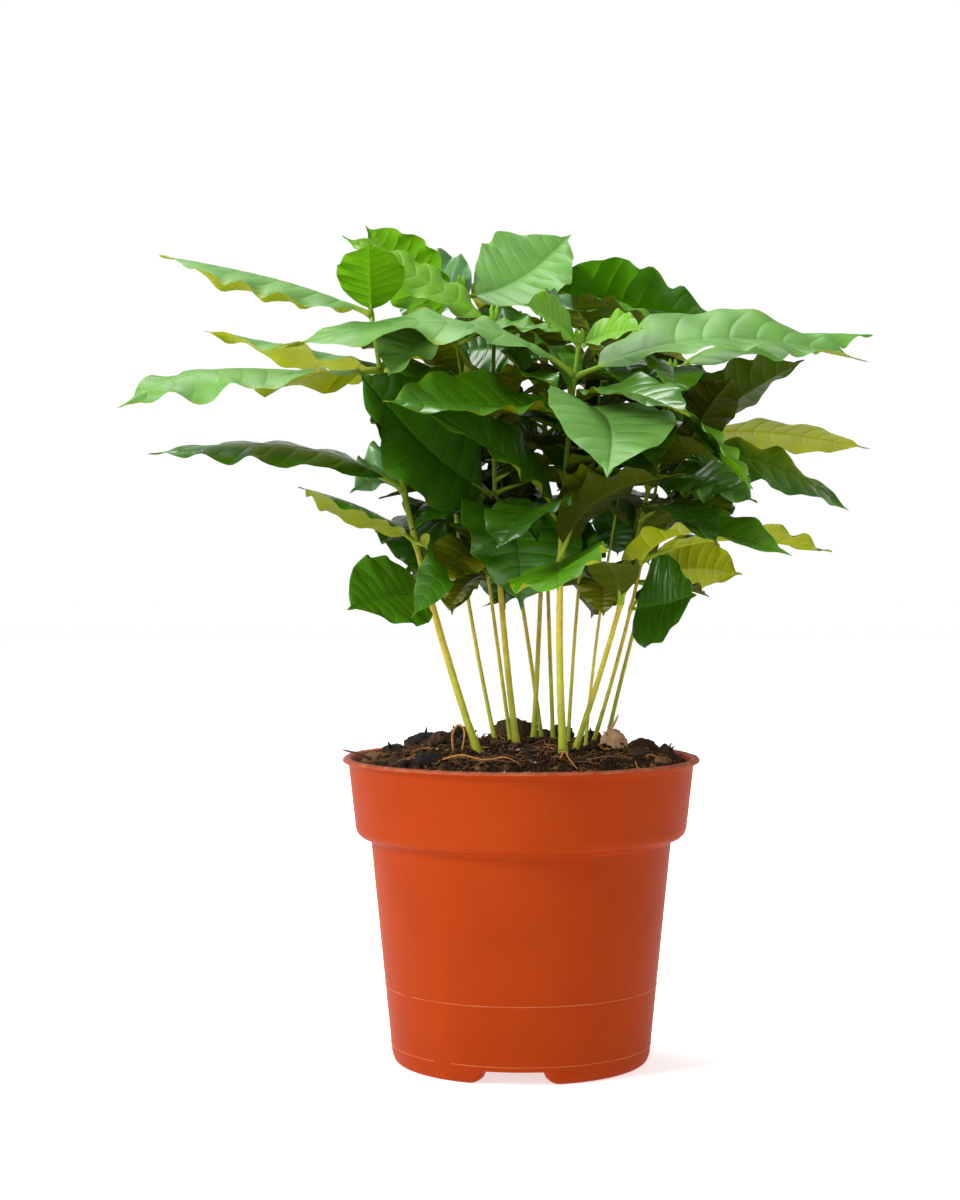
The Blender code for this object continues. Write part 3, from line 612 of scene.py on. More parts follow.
def fill_crown(crowns):
    """Add the inner leaves: the listed ones, then more by the rule where there is room."""
    crowd = Crowd(STEM_SLIM, 0.0, THIN_LEAF)
    for owner, leaves in enumerate(crowns):
        for leaf in leaves:
            crowd.add(owner, leaf)
    for number, (owner, height, row, tone) in enumerate(FILLERS):
        rng = random.Random(SEED * 77 + number)
        leaf = seat_filler(owner - 1, height, row, rng, crowd)
        if leaf:
            leaf["tone"] = tone
            crowns[owner - 1].append(leaf)
    for owner, seedling in enumerate(SEEDLINGS):
        rng = random.Random(SEED * 55 + owner)
        height = FILLER_LOW + rng.uniform(0.0, FILLER_SPACING)
        turn = rng.uniform(0.0, math.tau)
        while height < seedling.top[2] - FILLER_BELOW_TIP:
            for side in (0, 1):
                leaf = fit_filler(owner, height, turn + math.pi * side, rng, crowd)
                if leaf:
                    leaf["tone"] = tone_of(owner, FILLER_NODE, side, height)
                    crowns[owner].append(leaf)
            height += FILLER_SPACING
            turn += math.pi / 2


def seat_filler(owner, height, row, rng, crowd):
    """A listed leaf, moved back or forward, or made smaller, until it cuts nothing."""
    seedling = SEEDLINGS[owner]
    state = rng.getstate()
    for size in FILLER_SIZES:
        for shift in FILLER_SHIFTS:
            rng.setstate(state)
            base = stem_point(seedling, height * MM) / MM
            tip = base + (Vector(row.tip) - base) * size + Vector((0.0, shift, 0.0))
            moved = row._replace(tip=tuple(tip), width=row.width * size)
            leaf = leaf_from(seedling, height, moved, rng)
            if crowd.takes(owner, leaf):
                return leaf
    return None


def fit_filler(owner, height, turn, rng, crowd):
    """A rule leaf that cuts none of the others, or nothing."""
    seedling = SEEDLINGS[owner]
    for attempt in range(FILLER_TRIES):
        swing = rng.uniform(-FILLER_SWING, FILLER_SWING)
        size = 1.0 - FILLER_SHRINK * attempt / FILLER_TRIES
        row = rule_row(seedling, height, turn + swing, size, rng)
        leaf = leaf_from(seedling, height, row, rng)
        if is_inside(leaf) and not faces_front(leaf) and crowd.takes(owner, leaf):
            return leaf
    return None


def faces_front(leaf):
    """Whether a leaf reaches into the crown's upper front, which its listed leaves fill."""
    return leaf["tip"].z > UPPER_FRONT_Z and leaf["tip"].y < UPPER_FRONT_Y


def settle(owner, height, index, pair, side, rng, crowd):
    """The first place near the wanted one where a leaf is clear of all others."""
    seedling = SEEDLINGS[owner]
    row = pair[side]
    if row is RULE:
        partner = pair[1 - side]
        base = stem_point(seedling, height * MM) / MM
        if partner is RULE:
            turn = math.radians(137.0 * owner + 90.0 * index + 180.0 * side)
        else:
            turn = math.atan2(base.y - partner.tip[1], base.x - partner.tip[0])
        for attempt in range(RULE_TRIES):
            swing = rng.uniform(-1, 1) * (RULE_SWING + RULE_SWING_GROWTH * attempt)
            size = 1.0 - RULE_SHRINK * attempt / RULE_TRIES
            row = rule_row(seedling, height, turn + swing, size, rng)
            leaf = leaf_from(seedling, height, row, rng)
            if is_inside(leaf) and crowd.takes(owner, leaf):
                return leaf
        return None
    state = rng.getstate()
    for shift in SETTLE_STEPS:
        rng.setstate(state)
        moved = (row.tip[0], row.tip[1] + shift, row.tip[2])
        leaf = leaf_from(seedling, height, row._replace(tip=moved), rng)
        if crowd.takes(owner, leaf):
            return leaf
    return None


def is_inside(leaf):
    """Whether a leaf's tip keeps within the crown's core, so it fills it from within."""
    return all(CORE_LOW[axis] <= leaf["tip"][axis] <= CORE_HIGH[axis] for axis in range(3))


class Crowd:
    """Stems and leaves that are in place, which a new leaf is tested against."""

    def __init__(self, stem_share, stem_room, thickness):
        self.thickness = thickness
        self.leaves = []
        self.stems = []
        for seedling in SEEDLINGS:
            start, end = foot_of(seedling).z, seedling.top[2] * MM
            points, radii = stem_run(seedling, start, end, STEM_TREE_STEPS)
            self.stems.append(tube_tree(points, [radius * stem_share + stem_room for radius in radii]))

    def trees(self, leaf):
        """Search trees of a leaf with its stalk, and of its blade alone."""
        shells = (leaf_shell(leaf, LEAF_STEPS, self.thickness, start) for start in (0.0, BLADE_START))
        return [BVHTree.FromPolygons(*shell) for shell in shells]

    def add(self, owner, leaf):
        self.leaves.append((owner, *self.trees(leaf)))

    def takes(self, owner, leaf):
        """Whether a leaf touches nothing; if so it joins the others."""
        whole, blade = self.trees(leaf)
        for number, tree in enumerate(self.stems):
            if (blade if number == owner else whole).overlap(tree):
                return False
        for other_owner, other_whole, other_blade in self.leaves:
            pair = (blade, other_blade) if other_owner == owner else (whole, other_whole)
            if pair[0].overlap(pair[1]):
                return False
        self.leaves.append((owner, whole, blade))
        return True


def tube_tree(points, radii):
    """A search tree of a limb's surface, as a four-sided tube."""
    rings, faces = [], []
    for point, radius in zip(points, radii):
        for turn in range(4):
            angle = math.tau * turn / 4
            rings.append(point + Vector((math.cos(angle), math.sin(angle), 0.0)) * radius * 1.2)
    for ring in range(len(points) - 1):
        for side in range(4):
            near, far = 4 * ring + side, 4 * ring + (side + 1) % 4
            faces.append((near, far, far + 4, near + 4))
    return BVHTree.FromPolygons(rings, faces)


def tone_of(owner, index, side, height):
    """A leaf's listed tone, or the one that its height gives."""
    if (owner + 1, index, side) in TONES:
        return TONES[(owner + 1, index, side)]
    return next(tone for limit, tone in TONE_BY_HEIGHT if height < limit)


# --- gathering many small shapes into one mesh ---------------------------------


class Batch:
    """Points, faces, material numbers and bake map of many shapes, for one object."""

    def __init__(self):
        self.points = []
        self.corners = []
        self.sizes = []
        self.kinds = []
        self.uvs = []
        self.count = 0

    def add(self, points, faces, kinds, uvs=None):
        """Add one shape: faces is an array of corners, all of one size."""
        points = np.asarray(points, float)
        faces = np.asarray(faces, int)
        self.points.append(points)
        self.add_faces(faces, kinds, uvs, self.count)
        self.count += len(points)

    def add_faces(self, faces, kinds, uvs, first):
        faces = np.asarray(faces, int)
        self.corners.append((faces + first).ravel())
        self.sizes.append(np.full(len(faces), faces.shape[1]))
        self.kinds.append(np.broadcast_to(np.asarray(kinds, int), (len(faces),)))
        if uvs is None:
            uvs = np.zeros((faces.size, 2))
        self.uvs.append(np.asarray(uvs, float).reshape(-1, 2))

    def make(self, name, materials, with_map=True):
        points = np.concatenate(self.points)
        corners = np.concatenate(self.corners)
        sizes = np.concatenate(self.sizes)
        mesh = bpy.data.meshes.new(name)
        mesh.vertices.add(len(points))
        mesh.vertices.foreach_set("co", points.ravel())
        mesh.loops.add(len(corners))
        mesh.loops.foreach_set("vertex_index", corners)
        mesh.polygons.add(len(sizes))
        starts = np.concatenate(([0], np.cumsum(sizes)[:-1]))
        mesh.polygons.foreach_set("loop_start", starts)
        mesh.polygons.foreach_set("material_index", np.concatenate(self.kinds))
        for material in materials:
            mesh.materials.append(material)
        if with_map:
            layer = mesh.uv_layers.new(name="OFBake")
            layer.data.foreach_set("uv", np.concatenate(self.uvs).ravel())
        mesh.update(calc_edges=True)
        mesh.shade_smooth()
        return add_object(name, mesh)


def add_object(name, data):
    obj = bpy.data.objects.new(name, data)
    bpy.context.scene.collection.objects.link(obj)
    return obj


def grid_faces(rows, columns, flip=False):
    """Quads of a grid of points, row by row."""
    row, column = np.meshgrid(np.arange(rows - 1), np.arange(columns - 1), indexing="ij")
    a = (row * columns + column).ravel()
    faces = np.stack([a, a + 1, a + columns + 1, a + columns], axis=1)
    return faces[:, ::-1] if flip else faces


def ring_faces(rings, sides):
    """Quads between closed rings of points: the grid's, then those across the seam."""
    wrap = np.arange(rings - 1) * sides
    seam = np.stack([wrap + 2 * sides - 1, wrap + sides, wrap, wrap + sides - 1], axis=1)
    return grid_faces(rings, sides, True), seam


# --- materials -----------------------------------------------------------------


def add_noise(nodes, links, place, scale, detail):
    """A noise texture on the object's own coordinates."""
    noise_node = nodes.new("ShaderNodeTexNoise")
    noise_node.inputs["Scale"].default_value = scale
    noise_node.inputs["Detail"].default_value = detail
    links.new(place.outputs["Object"], noise_node.inputs["Vector"])
    return noise_node


def add_range(nodes, links, source, **limits):
    """A value spread from one range to another; a limit left out stays 0 or 1."""
    spread = nodes.new("ShaderNodeMapRange")
    for socket, value in limits.items():
        spread.inputs[socket.replace("_", " ")].default_value = value
    links.new(source, spread.inputs["Value"])
    return spread


def pattern_material(name, colours, roughness, scale, gloss, bump=0.0, bump_scale=600.0):
    """A Principled material: one noise mixes two colours and another gives relief."""
    material = bpy.data.materials.new(name)
    material.use_nodes = True
    nodes, links = material.node_tree.nodes, material.node_tree.links
    shader = nodes["Principled BSDF"]
    place = nodes.new("ShaderNodeTexCoord")
    mottle = add_noise(nodes, links, place, scale, 5.0)
    mottle.inputs["Roughness"].default_value = 0.6
    spread = add_range(nodes, links, mottle.outputs["Fac"], From_Min=0.3, From_Max=0.7)
    mix = nodes.new("ShaderNodeMix")
    mix.data_type = "RGBA"
    links.new(spread.outputs["Result"], mix.inputs["Factor"])
    mix.inputs["A"].default_value = (*colours[0], 1.0)
    mix.inputs["B"].default_value = (*colours[1], 1.0)
    links.new(mix.outputs["Result"], shader.inputs["Base Color"])
    rough = add_range(nodes, links, mottle.outputs["Fac"], To_Min=roughness[0], To_Max=roughness[1])
    links.new(rough.outputs["Result"], shader.inputs["Roughness"])
    if bump:
        grain = add_noise(nodes, links, place, bump_scale, 3.0)
        relief = nodes.new("ShaderNodeBump")
        relief.inputs["Strength"].default_value = bump
        relief.inputs["Distance"].default_value = 0.3 * MM
        links.new(grain.outputs["Fac"], relief.inputs["Height"])
        links.new(relief.outputs["Normal"], shader.inputs["Normal"])
    shader.inputs["Specular IOR Level"].default_value = gloss
    return material


def material_of(name):
    """One of the materials in LOOKS."""
    return pattern_material(name, *LOOKS[name])


def shaded(colour, factor):
    """A colour made darker or lighter."""
    return tuple(channel * factor for channel in colour)


def leaf_materials():
    """For each tone, its four materials in the order of LEAF_FACES."""
    made = {}
    for tone, colours in LEAF_COLOURS.items():
        made[tone] = []
        for colour, (face, darker, lighter, look, scale, bump) in zip(colours, LEAF_FACES):
            rough, gloss = look or (SATIN if tone in SATIN_TONES else GLOSSY)
            both = (shaded(colour, darker), shaded(colour, lighter))
            made[tone].append(pattern_material(f"leaf_{tone}_{face}", both, rough, scale, gloss, bump))
    return made


# --- leaves --------------------------------------------------------------------


def blade_steps(length):
    """Rows along a blade: which place, how far between two veins, and whether a vein."""
    vein = VEIN_HALF / length
    places = [FIRST_VEIN + VEIN_SPAN * (number / (VEINS - 1)) ** VEIN_CROWDING for number in range(VEINS)]
    rows, swell, on_vein = [0.0, 0.02, 0.045], [0.0, 0.1, 0.2], [False, False, False]
    for number, place in enumerate(places):
        rows += [place - vein, place, place + vein]
        swell += [0.0, 0.0, 0.0]
        on_vein += [True, True, False]
        if number < VEINS - 1:
            gap = places[number + 1] - place
            for share in (0.22, 0.5, 0.78):
                rows.append(place + gap * share)
                swell.append(math.sin(math.pi * share) ** 2)
                on_vein.append(False)
    for share in (0.25, 0.5, 0.75, 0.93):
        rows.append(places[-1] + (1.0 - places[-1]) * share)
        swell.append(0.2 * (1.0 - share))
        on_vein.append(False)
    rows.append(1.0)
    swell.append(0.0)
    return np.array(rows), np.array(swell), np.array(on_vein)


def fine_half(leaf, share):
    """Half the drawn blade's width: a little fuller towards both ends than the rule's."""
    blade = blade_place(share)
    full = blade_share(blade) ** (FULLNESS + TIP_TAPER * blade) if 0.0 < blade < 1.0 else 0.0
    return max(leaf["width"] / 2 * full, STALK_HALF_WIDTH * (1.0 - share))


def fine_waves(leaf, share):
    """Both margins' waves, with uneven spacing and height."""
    blade = blade_place(share)
    fade = wave_fade(blade)
    waves = []
    for phase in (leaf["phase"], leaf["phase"] + leaf["shift"]):
        drift = 0.22 * math.sin(math.tau * 0.9 * blade + 2.3 * phase)
        long = math.sin(math.tau * (WAVE_COUNT * blade + drift) + phase)
        short = math.sin(math.tau * (2.2 * WAVE_COUNT * blade + drift) + 1.7 * phase)
        strength = 1.0 + 0.45 * math.sin(math.tau * 1.3 * blade + 3.1 * phase)
        waves.append(leaf["wave"] * fade * WAVE_TRIM * (strength * long + 0.22 * short))
    return waves


def at_shares(table, shares):
    """A table with one row for each of FRAME_SAMPLES places, read at shares in between."""
    samples = np.linspace(0.0, 1.0, FRAME_SAMPLES)
    if table.ndim == 1:
        return np.interp(shares, samples, table)
    return np.stack([np.interp(shares, samples, column) for column in table.T], axis=-1)


def leaf_sheets(leaf, rows, swell, on_vein):
    """Upper and lower points of the blade's left and of its right half, by row and column.

    The rows follow the side veins out to the margin; the columns go from rib to margin.
    """
    samples = np.linspace(0.0, 1.0, FRAME_SAMPLES)
    frames = [leaf_frame(leaf, share)[:3] for share in samples]
    middles, asides, normals = (np.array(column) for column in zip(*frames))
    halves = np.array([fine_half(leaf, share) for share in samples])
    halves[-1] = 0.0
    waves = np.array([fine_waves(leaf, share) for share in samples])

    inner = np.linspace(0.0, 1.0, COLUMNS)[:, None]
    half_row = np.maximum(at_shares(halves, STALK_SHARE + (1.0 - STALK_SHARE) * rows), 1e-5)
    rib = np.clip(MIDRIB_HALF * (1.0 - MIDRIB_TAPER * rows) / half_row, 0.02, 0.45)
    edge = 1.0 - np.clip(MARGIN_WIDTH / half_row, 0.012, 0.3)
    across = rib[None, :] + (edge - rib)[None, :] * inner**0.95
    across = np.concatenate([np.zeros((1, len(rows))), across, np.ones((1, len(rows)))]).T

    blade = rows[:, None] + SWEEP * across**1.7 * (rows * (1.0 - rows))[:, None]
    share = STALK_SHARE + (1.0 - STALK_SHARE) * blade
    middle, aside, normal = at_shares(middles, share), at_shares(asides, share), at_shares(normals, share)
    half = at_shares(halves, share)
    reach = across * half
    flat = leaf["width"] * QUILT * swell[:, None] * (4.0 * across * (1.0 - across)) ** 0.7
    flat += CAMBER * half * across * (1.0 - across)

    groove = np.zeros_like(across)
    groove[:, 0] = MIDRIB_RELIEF
    vein_rows = np.zeros(len(rows))
    vein_rows[:-1][on_vein & np.roll(on_vein, 1)] = 1.0
    fade = np.clip((VEIN_END - across) / VEIN_FADE, 0.0, 1.0)
    ridge = np.maximum(vein_rows[:, None] * fade, groove)
    ridge[0] = 0.0
    rib_depth = VEIN_RELIEF_BELOW * ridge * (1.0 - 0.5 * rows)[:, None]
    body = np.sqrt(np.clip(1.0 - across, 0.0, 1.0)) * np.minimum(1.0, half / (4 * MM))
    thick = 0.5 * BLADE_THICKNESS * body

    sheets = []
    for side, wave in ((-1, waves[:, 0]), (1, waves[:, 1])):
        height = reach * math.sin(leaf["fold"]) + at_shares(wave, share) * across**2 + flat
        height += leaf.get("curl", 0.0) * half * across**3 * np.clip(1.0 - blade**2, 0.0, 1.0)
        base = middle + aside * (side * reach * math.cos(leaf["fold"]))[..., None]
        top = base + normal * (height + thick - VEIN_RELIEF_ABOVE * ridge)[..., None]
        low = base + normal * (height - thick - rib_depth)[..., None]
        sheets.append((top, low))
    return sheets


def add_leaf(batch, leaf, first_kind, cells):
    """The blade's upper and lower face, each with its veins, its margins and its tip."""
    rows, swell, on_vein = blade_steps((leaf["tip"] - leaf["base"]).length)
    halves = leaf_sheets(leaf, rows, swell, on_vein)
    for layer, flip in ((0, False), (1, True)):
        left, right = halves[0][layer], halves[1][layer]
        grid = np.concatenate([left[:, ::-1], right[:, 1:]], axis=1)
        count_rows, count_columns = grid.shape[0] - 1, grid.shape[1]
        middle_column = COLUMNS + 1
        points = np.concatenate([grid[:-1].reshape(-1, 3), grid[-1:, middle_column]])
        faces = grid_faces(count_rows, count_columns, flip)

        face_kind, vein_kind = first_kind + layer, first_kind + 2 + layer
        kinds = np.full((count_rows - 1, count_columns - 1), face_kind)
        kinds[on_vein[: count_rows - 1], 2 : count_columns - 3] = vein_kind
        kinds[:, middle_column - 1 : middle_column + 1] = vein_kind
        kinds[:, (0, -1)] = face_kind if layer else vein_kind

        left_edge, low_edge, wide, high = cells[layer]
        u = np.repeat(rows[:-1], count_columns)
        v = np.tile(np.linspace(0.0, 1.0, count_columns), count_rows)
        flat_map = np.stack([left_edge + wide * u, low_edge + high * v], axis=1)
        flat_map = np.concatenate([flat_map, [[left_edge + wide, low_edge + high / 2]]])

        first = batch.count
        batch.add(points, faces, kinds.ravel(), flat_map[faces])
        last = np.arange(count_columns - 1) + (count_rows - 1) * count_columns
        tip = np.full(count_columns - 1, len(points) - 1)
        ends = np.stack([last, last + 1, tip], axis=1)
        ends = ends[:, ::-1] if flip else ends
        batch.add_faces(ends, vein_kind, flat_map[ends], first)


def map_cells(count):
    """Even cells of the bake map, as (left, low, width, height) with a little room."""
    columns = math.ceil(math.sqrt(count / 2.5))
    rows = math.ceil(count / columns)
    room = 0.06
    cells = []
    for number in range(count):
        column, row = number % columns, number // columns
        cells.append((
            (column + room / 2) / columns,
            (row + room / 2) / rows,
            (1.0 - room) / columns,
            (1.0 - room) / rows,
        ))
    return cells


def make_foliage(number, leaves, materials):
    """All the leaves of one seedling, as one piece."""
    batch = Batch()
    tones = sorted({leaf["tone"] for leaf in leaves})
    slots = [material for tone in tones for material in materials[tone]]
    cells = map_cells(2 * len(leaves))
    for index, leaf in enumerate(leaves):
        first_kind = 4 * tones.index(leaf["tone"])
        add_leaf(batch, leaf, first_kind, cells[2 * index : 2 * index + 2])
    foliage = batch.make(f"foliage_{number:02d}", slots)
    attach(foliage, "root")
    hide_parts(f"leaves_{number:02d}")


# --- stems ---------------------------------------------------------------------


def limb_rings(points, radii, sides, relief, seed):
    """Rings of points round a path, with the same side of each ring kept in line."""
    rings = []
    across = None
    for index, (point, radius) in enumerate(zip(points, radii)):
        after, before = points[min(index + 1, len(points) - 1)], points[max(index - 1, 0)]
        onward = (after - before).normalized()
        if across is None:
            across = onward.orthogonal().normalized()
        across = (across - onward * across.dot(onward)).normalized()
        other = onward.cross(across)
        for side in range(sides):
            turn = math.tau * side / sides
            out = across * math.cos(turn) + other * math.sin(turn)
            swell = 1.0
            if relief:
                place = Vector((math.cos(turn), math.sin(turn), index * 0.35 + seed))
                fine = Vector((5 * place.x, 5 * place.y, 0.2 * place.z))
                swell = (1.0 + relief * noise.noise(place * 1.6)) * (1.0 + 0.5 * relief * noise.noise(fine))
            rings.append(point + out * (radius * swell))
    return rings


def limb(batch, points, radii, sides, kind, cell=None, relief=0.0, seed=0.0):
    """A tapering round limb through points, its ends closed to a point."""
    points = [Vector(point) for point in points]
    rings = limb_rings(points, radii, sides, relief, seed) + [points[0], points[-1]]
    count = len(points)
    faces = []
    for ring in range(count - 1):
        for side in range(sides):
            a, b = ring * sides + side, ring * sides + (side + 1) % sides
            faces.append((a, b, b + sides, a + sides))
    caps = []
    for side in range(sides):
        after = (side + 1) % sides
        caps.append((after, side, count * sides))
        caps.append(((count - 1) * sides + side, (count - 1) * sides + after, count * sides + 1))
    faces, caps = np.array(faces), np.array(caps)
    uvs = cap_uvs = None
    if cell is not None:
        along_limb = np.concatenate([np.repeat(np.linspace(0, 1, count), sides), [0.0, 1.0]])
        round_limb = np.concatenate([np.tile(np.arange(sides) / sides, count), [0.5, 0.5]])
        flat = np.stack([cell[0] + cell[2] * along_limb, cell[1] + cell[3] * round_limb], axis=1)
        uvs, cap_uvs = flat[faces].copy(), flat[caps]
        wraps = np.tile(np.arange(sides) == sides - 1, count - 1)
        uvs[wraps, 1:3, 1] = cell[1] + cell[3]
    first = batch.count
    batch.add(np.array(rings), faces, kind, uvs)
    batch.add_faces(caps, kind, cap_uvs, first)


# The bark's colour up the stem: height in metres, moved a little by noise, and colour.
BARK_STOPS = (
    (0.125, (0.34, 0.42, 0.035)),
    (0.150, (0.46, 0.47, 0.045)),
    (0.172, (0.58, 0.44, 0.050)),
    (0.186, (0.50, 0.43, 0.045)),
    (0.200, (0.24, 0.32, 0.025)),
    (0.240, (0.17, 0.30, 0.020)),
    (0.285, (0.22, 0.42, 0.030)),
)


def stem_material():
    """Pale green at the foot, golden bark half way up and green where leaves grow."""
    material = material_of("stem_bark")
    nodes, links = material.node_tree.nodes, material.node_tree.links
    shader = nodes["Principled BSDF"]
    mottle = shader.inputs["Base Color"].links[0].from_node
    place = nodes.new("ShaderNodeTexCoord")
    split = nodes.new("ShaderNodeSeparateXYZ")
    links.new(place.outputs["Object"], split.inputs["Vector"])
    wander = add_noise(nodes, links, place, 45.0, 2.0)
    shift = nodes.new("ShaderNodeMath")
    shift.operation = "MULTIPLY_ADD"
    shift.inputs[1].default_value = 0.05
    links.new(wander.outputs["Fac"], shift.inputs[0])
    links.new(split.outputs["Z"], shift.inputs[2])
    ramp = nodes.new("ShaderNodeValToRGB")
    ramp.color_ramp.elements.remove(ramp.color_ramp.elements[1])
    low, high = BARK_STOPS[0][0], BARK_STOPS[-1][0]
    for index, (height, colour) in enumerate(BARK_STOPS):
        position = (height - low) / (high - low)
        element = ramp.color_ramp.elements.new(position) if index else ramp.color_ramp.elements[0]
        element.position = position
        element.color = (*colour, 1.0)
    reach = add_range(nodes, links, shift.outputs["Value"], From_Min=low, From_Max=high)
    links.new(reach.outputs["Result"], ramp.inputs["Fac"])
    blend = nodes.new("ShaderNodeMix")
    blend.data_type = "RGBA"
    blend.blend_type = "MULTIPLY"
    blend.inputs["Factor"].default_value = 0.8
    links.new(ramp.outputs["Color"], blend.inputs["A"])
    links.new(mottle.outputs["Result"], blend.inputs["B"])
    links.new(blend.outputs["Result"], shader.inputs["Base Color"])
    return material


# A petiole's radius in millimetres at shares of the way from the stem to the leaf's tip.
PETIOLE = (
    (0.0, 1.35), (0.02, 1.15), (0.04, 0.98), (0.06, 0.92),
    (0.08, 0.90), (0.10, 0.86), (0.13, 0.66), (0.17, 0.30),
)


def make_stalks(crowns):
    """Every stem with its swollen nodes, its petioles and its bud, as one piece."""
    batch = Batch()
    leaf_count = sum(len(leaves) for leaves in crowns)
    cells = iter(map_cells(3 * len(SEEDLINGS) + leaf_count))
    for number, (seedling, leaves) in enumerate(zip(SEEDLINGS, crowns)):
        foot = foot_of(seedling)
        top = seedling.top[2] * MM
        steps = int((top - foot.z) / STEM_STEP)
        points, radii = stem_run(seedling, foot.z, top, steps)
        for index, point in enumerate(points):
            for height, *_ in seedling.nodes:
                gap = (point.z - height * MM) / NODE_REACH
                radii[index] *= 1.0 + NODE_SWELL * math.exp(-gap * gap)
        radii = [radius * STEM_SLIM for radius in radii]
        limb(batch, points, radii, STEM_SIDES, 0, next(cells), STEM_RELIEF, 7.0 * number)
        for leaf in leaves:
            normal = leaf_frame(leaf, 0.12)[2]
            size = min(1.0, (leaf["tip"] - leaf["base"]).length / (70 * MM)) ** 0.5
            path, widths = [], []
            for share, width in PETIOLE:
                path.append(midrib(leaf, share) - normal * (0.35 * MM * min(share / 0.1, 1.0)))
                widths.append(width * size * MM)
            limb(batch, path, widths, PETIOLE_SIDES, 1, next(cells))
        add_bud(batch, seedling, next(cells), next(cells))
    stalks = batch.make("stalks", [stem_material(), material_of("petiole"), material_of("bud")])
    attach(stalks, "root")
    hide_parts(*[f"stem_{number + 1:02d}" for number in range(len(SEEDLINGS))])


def add_bud(batch, seedling, first_cell, second_cell):
    """Two small scales that stand together at a stem's tip."""
    top = Vector(seedling.top) * MM
    for side, cell in ((-1, first_cell), (1, second_cell)):
        points, radii = [], []
        for step in range(7):
            share = step / 6
            lean = 0.9 * MM * side * math.sin(share * 1.9)
            points.append(top + Vector((lean, 0.3 * lean, (-1.0 + 5.0 * share) * MM)))
            radii.append(1.0 * MM * (math.sin(math.pi * (0.25 + 0.72 * share)) ** 0.8 + 0.05))
        limb(batch, points, radii, BUD_SIDES, 2, cell)


# --- pot -----------------------------------------------------------------------


def round_point(radius, turn, height):
    """The place at a radius, a turn round the pot's middle and a height."""
    return radius * math.cos(turn), radius * math.sin(turn), height


def ring_noise(turn, reach, level):
    """Noise that goes round a ring without a seam; a longer reach makes it finer."""
    return noise.noise(Vector(round_point(reach, turn, level)))


def body_radius(height):
    """The tapered wall's outer radius at a height."""
    share = (height - BODY_FOOT_Z) / (BODY_TOP_Z - BODY_FOOT_Z)
    return BODY_FOOT_RADIUS + (BODY_TOP_RADIUS - BODY_FOOT_RADIUS) * share


def inner_wall():
    """The pot's inner side, from the floor's edge up to the foot of the lip."""
    floor_top = FLOOR_Z + WALL
    ledge_z = BODY_TOP_Z + WALL
    return [
        (body_radius(floor_top) - WALL, floor_top),
        (BODY_TOP_RADIUS - WALL, ledge_z - 0.4 * MM),
        (BODY_TOP_RADIUS - 0.3 * MM, ledge_z + 0.9 * MM),
        (COLLAR_FOOT_RADIUS - 2.6 * MM, ledge_z + 1.6 * MM),
        (COLLAR_FOOT_RADIUS - WALL, COLLAR_FOOT_Z + WALL),
        (COLLAR_TOP_RADIUS - WALL, POT_HEIGHT - LIP_HEIGHT),
    ]


def soft_profile(corners, bend, step):
    """A profile with each corner drawn as a small curve and each side cut into steps."""
    points = [corners[0]]
    for before, corner, after in zip(corners, corners[1:], corners[2:]):
        sides = []
        for other in (before, after):
            gap = math.hypot(other[0] - corner[0], other[1] - corner[1])
            share = min(bend, gap * 0.4) / gap
            sides.append(tuple(c + (o - c) * share for c, o in zip(corner, other)))
        first, last = sides
        for part in (0.0, 0.25, 0.5, 0.75, 1.0):
            weights = ((1 - part) ** 2, 2 * part * (1 - part), part**2)
            points.append(tuple(
                sum(w * p[axis] for w, p in zip(weights, (first, corner, last))) for axis in range(2)
            ))
    points.append(corners[-1])
    fine = [points[0]]
    for before, after in zip(points, points[1:]):
        gap = math.hypot(after[0] - before[0], after[1] - before[1])
        pieces = max(1, math.ceil(gap / step))
        for part in range(1, pieces + 1):
            share = part / pieces
            fine.append(tuple(b + (a - b) * share for b, a in zip(before, after)))
    return fine


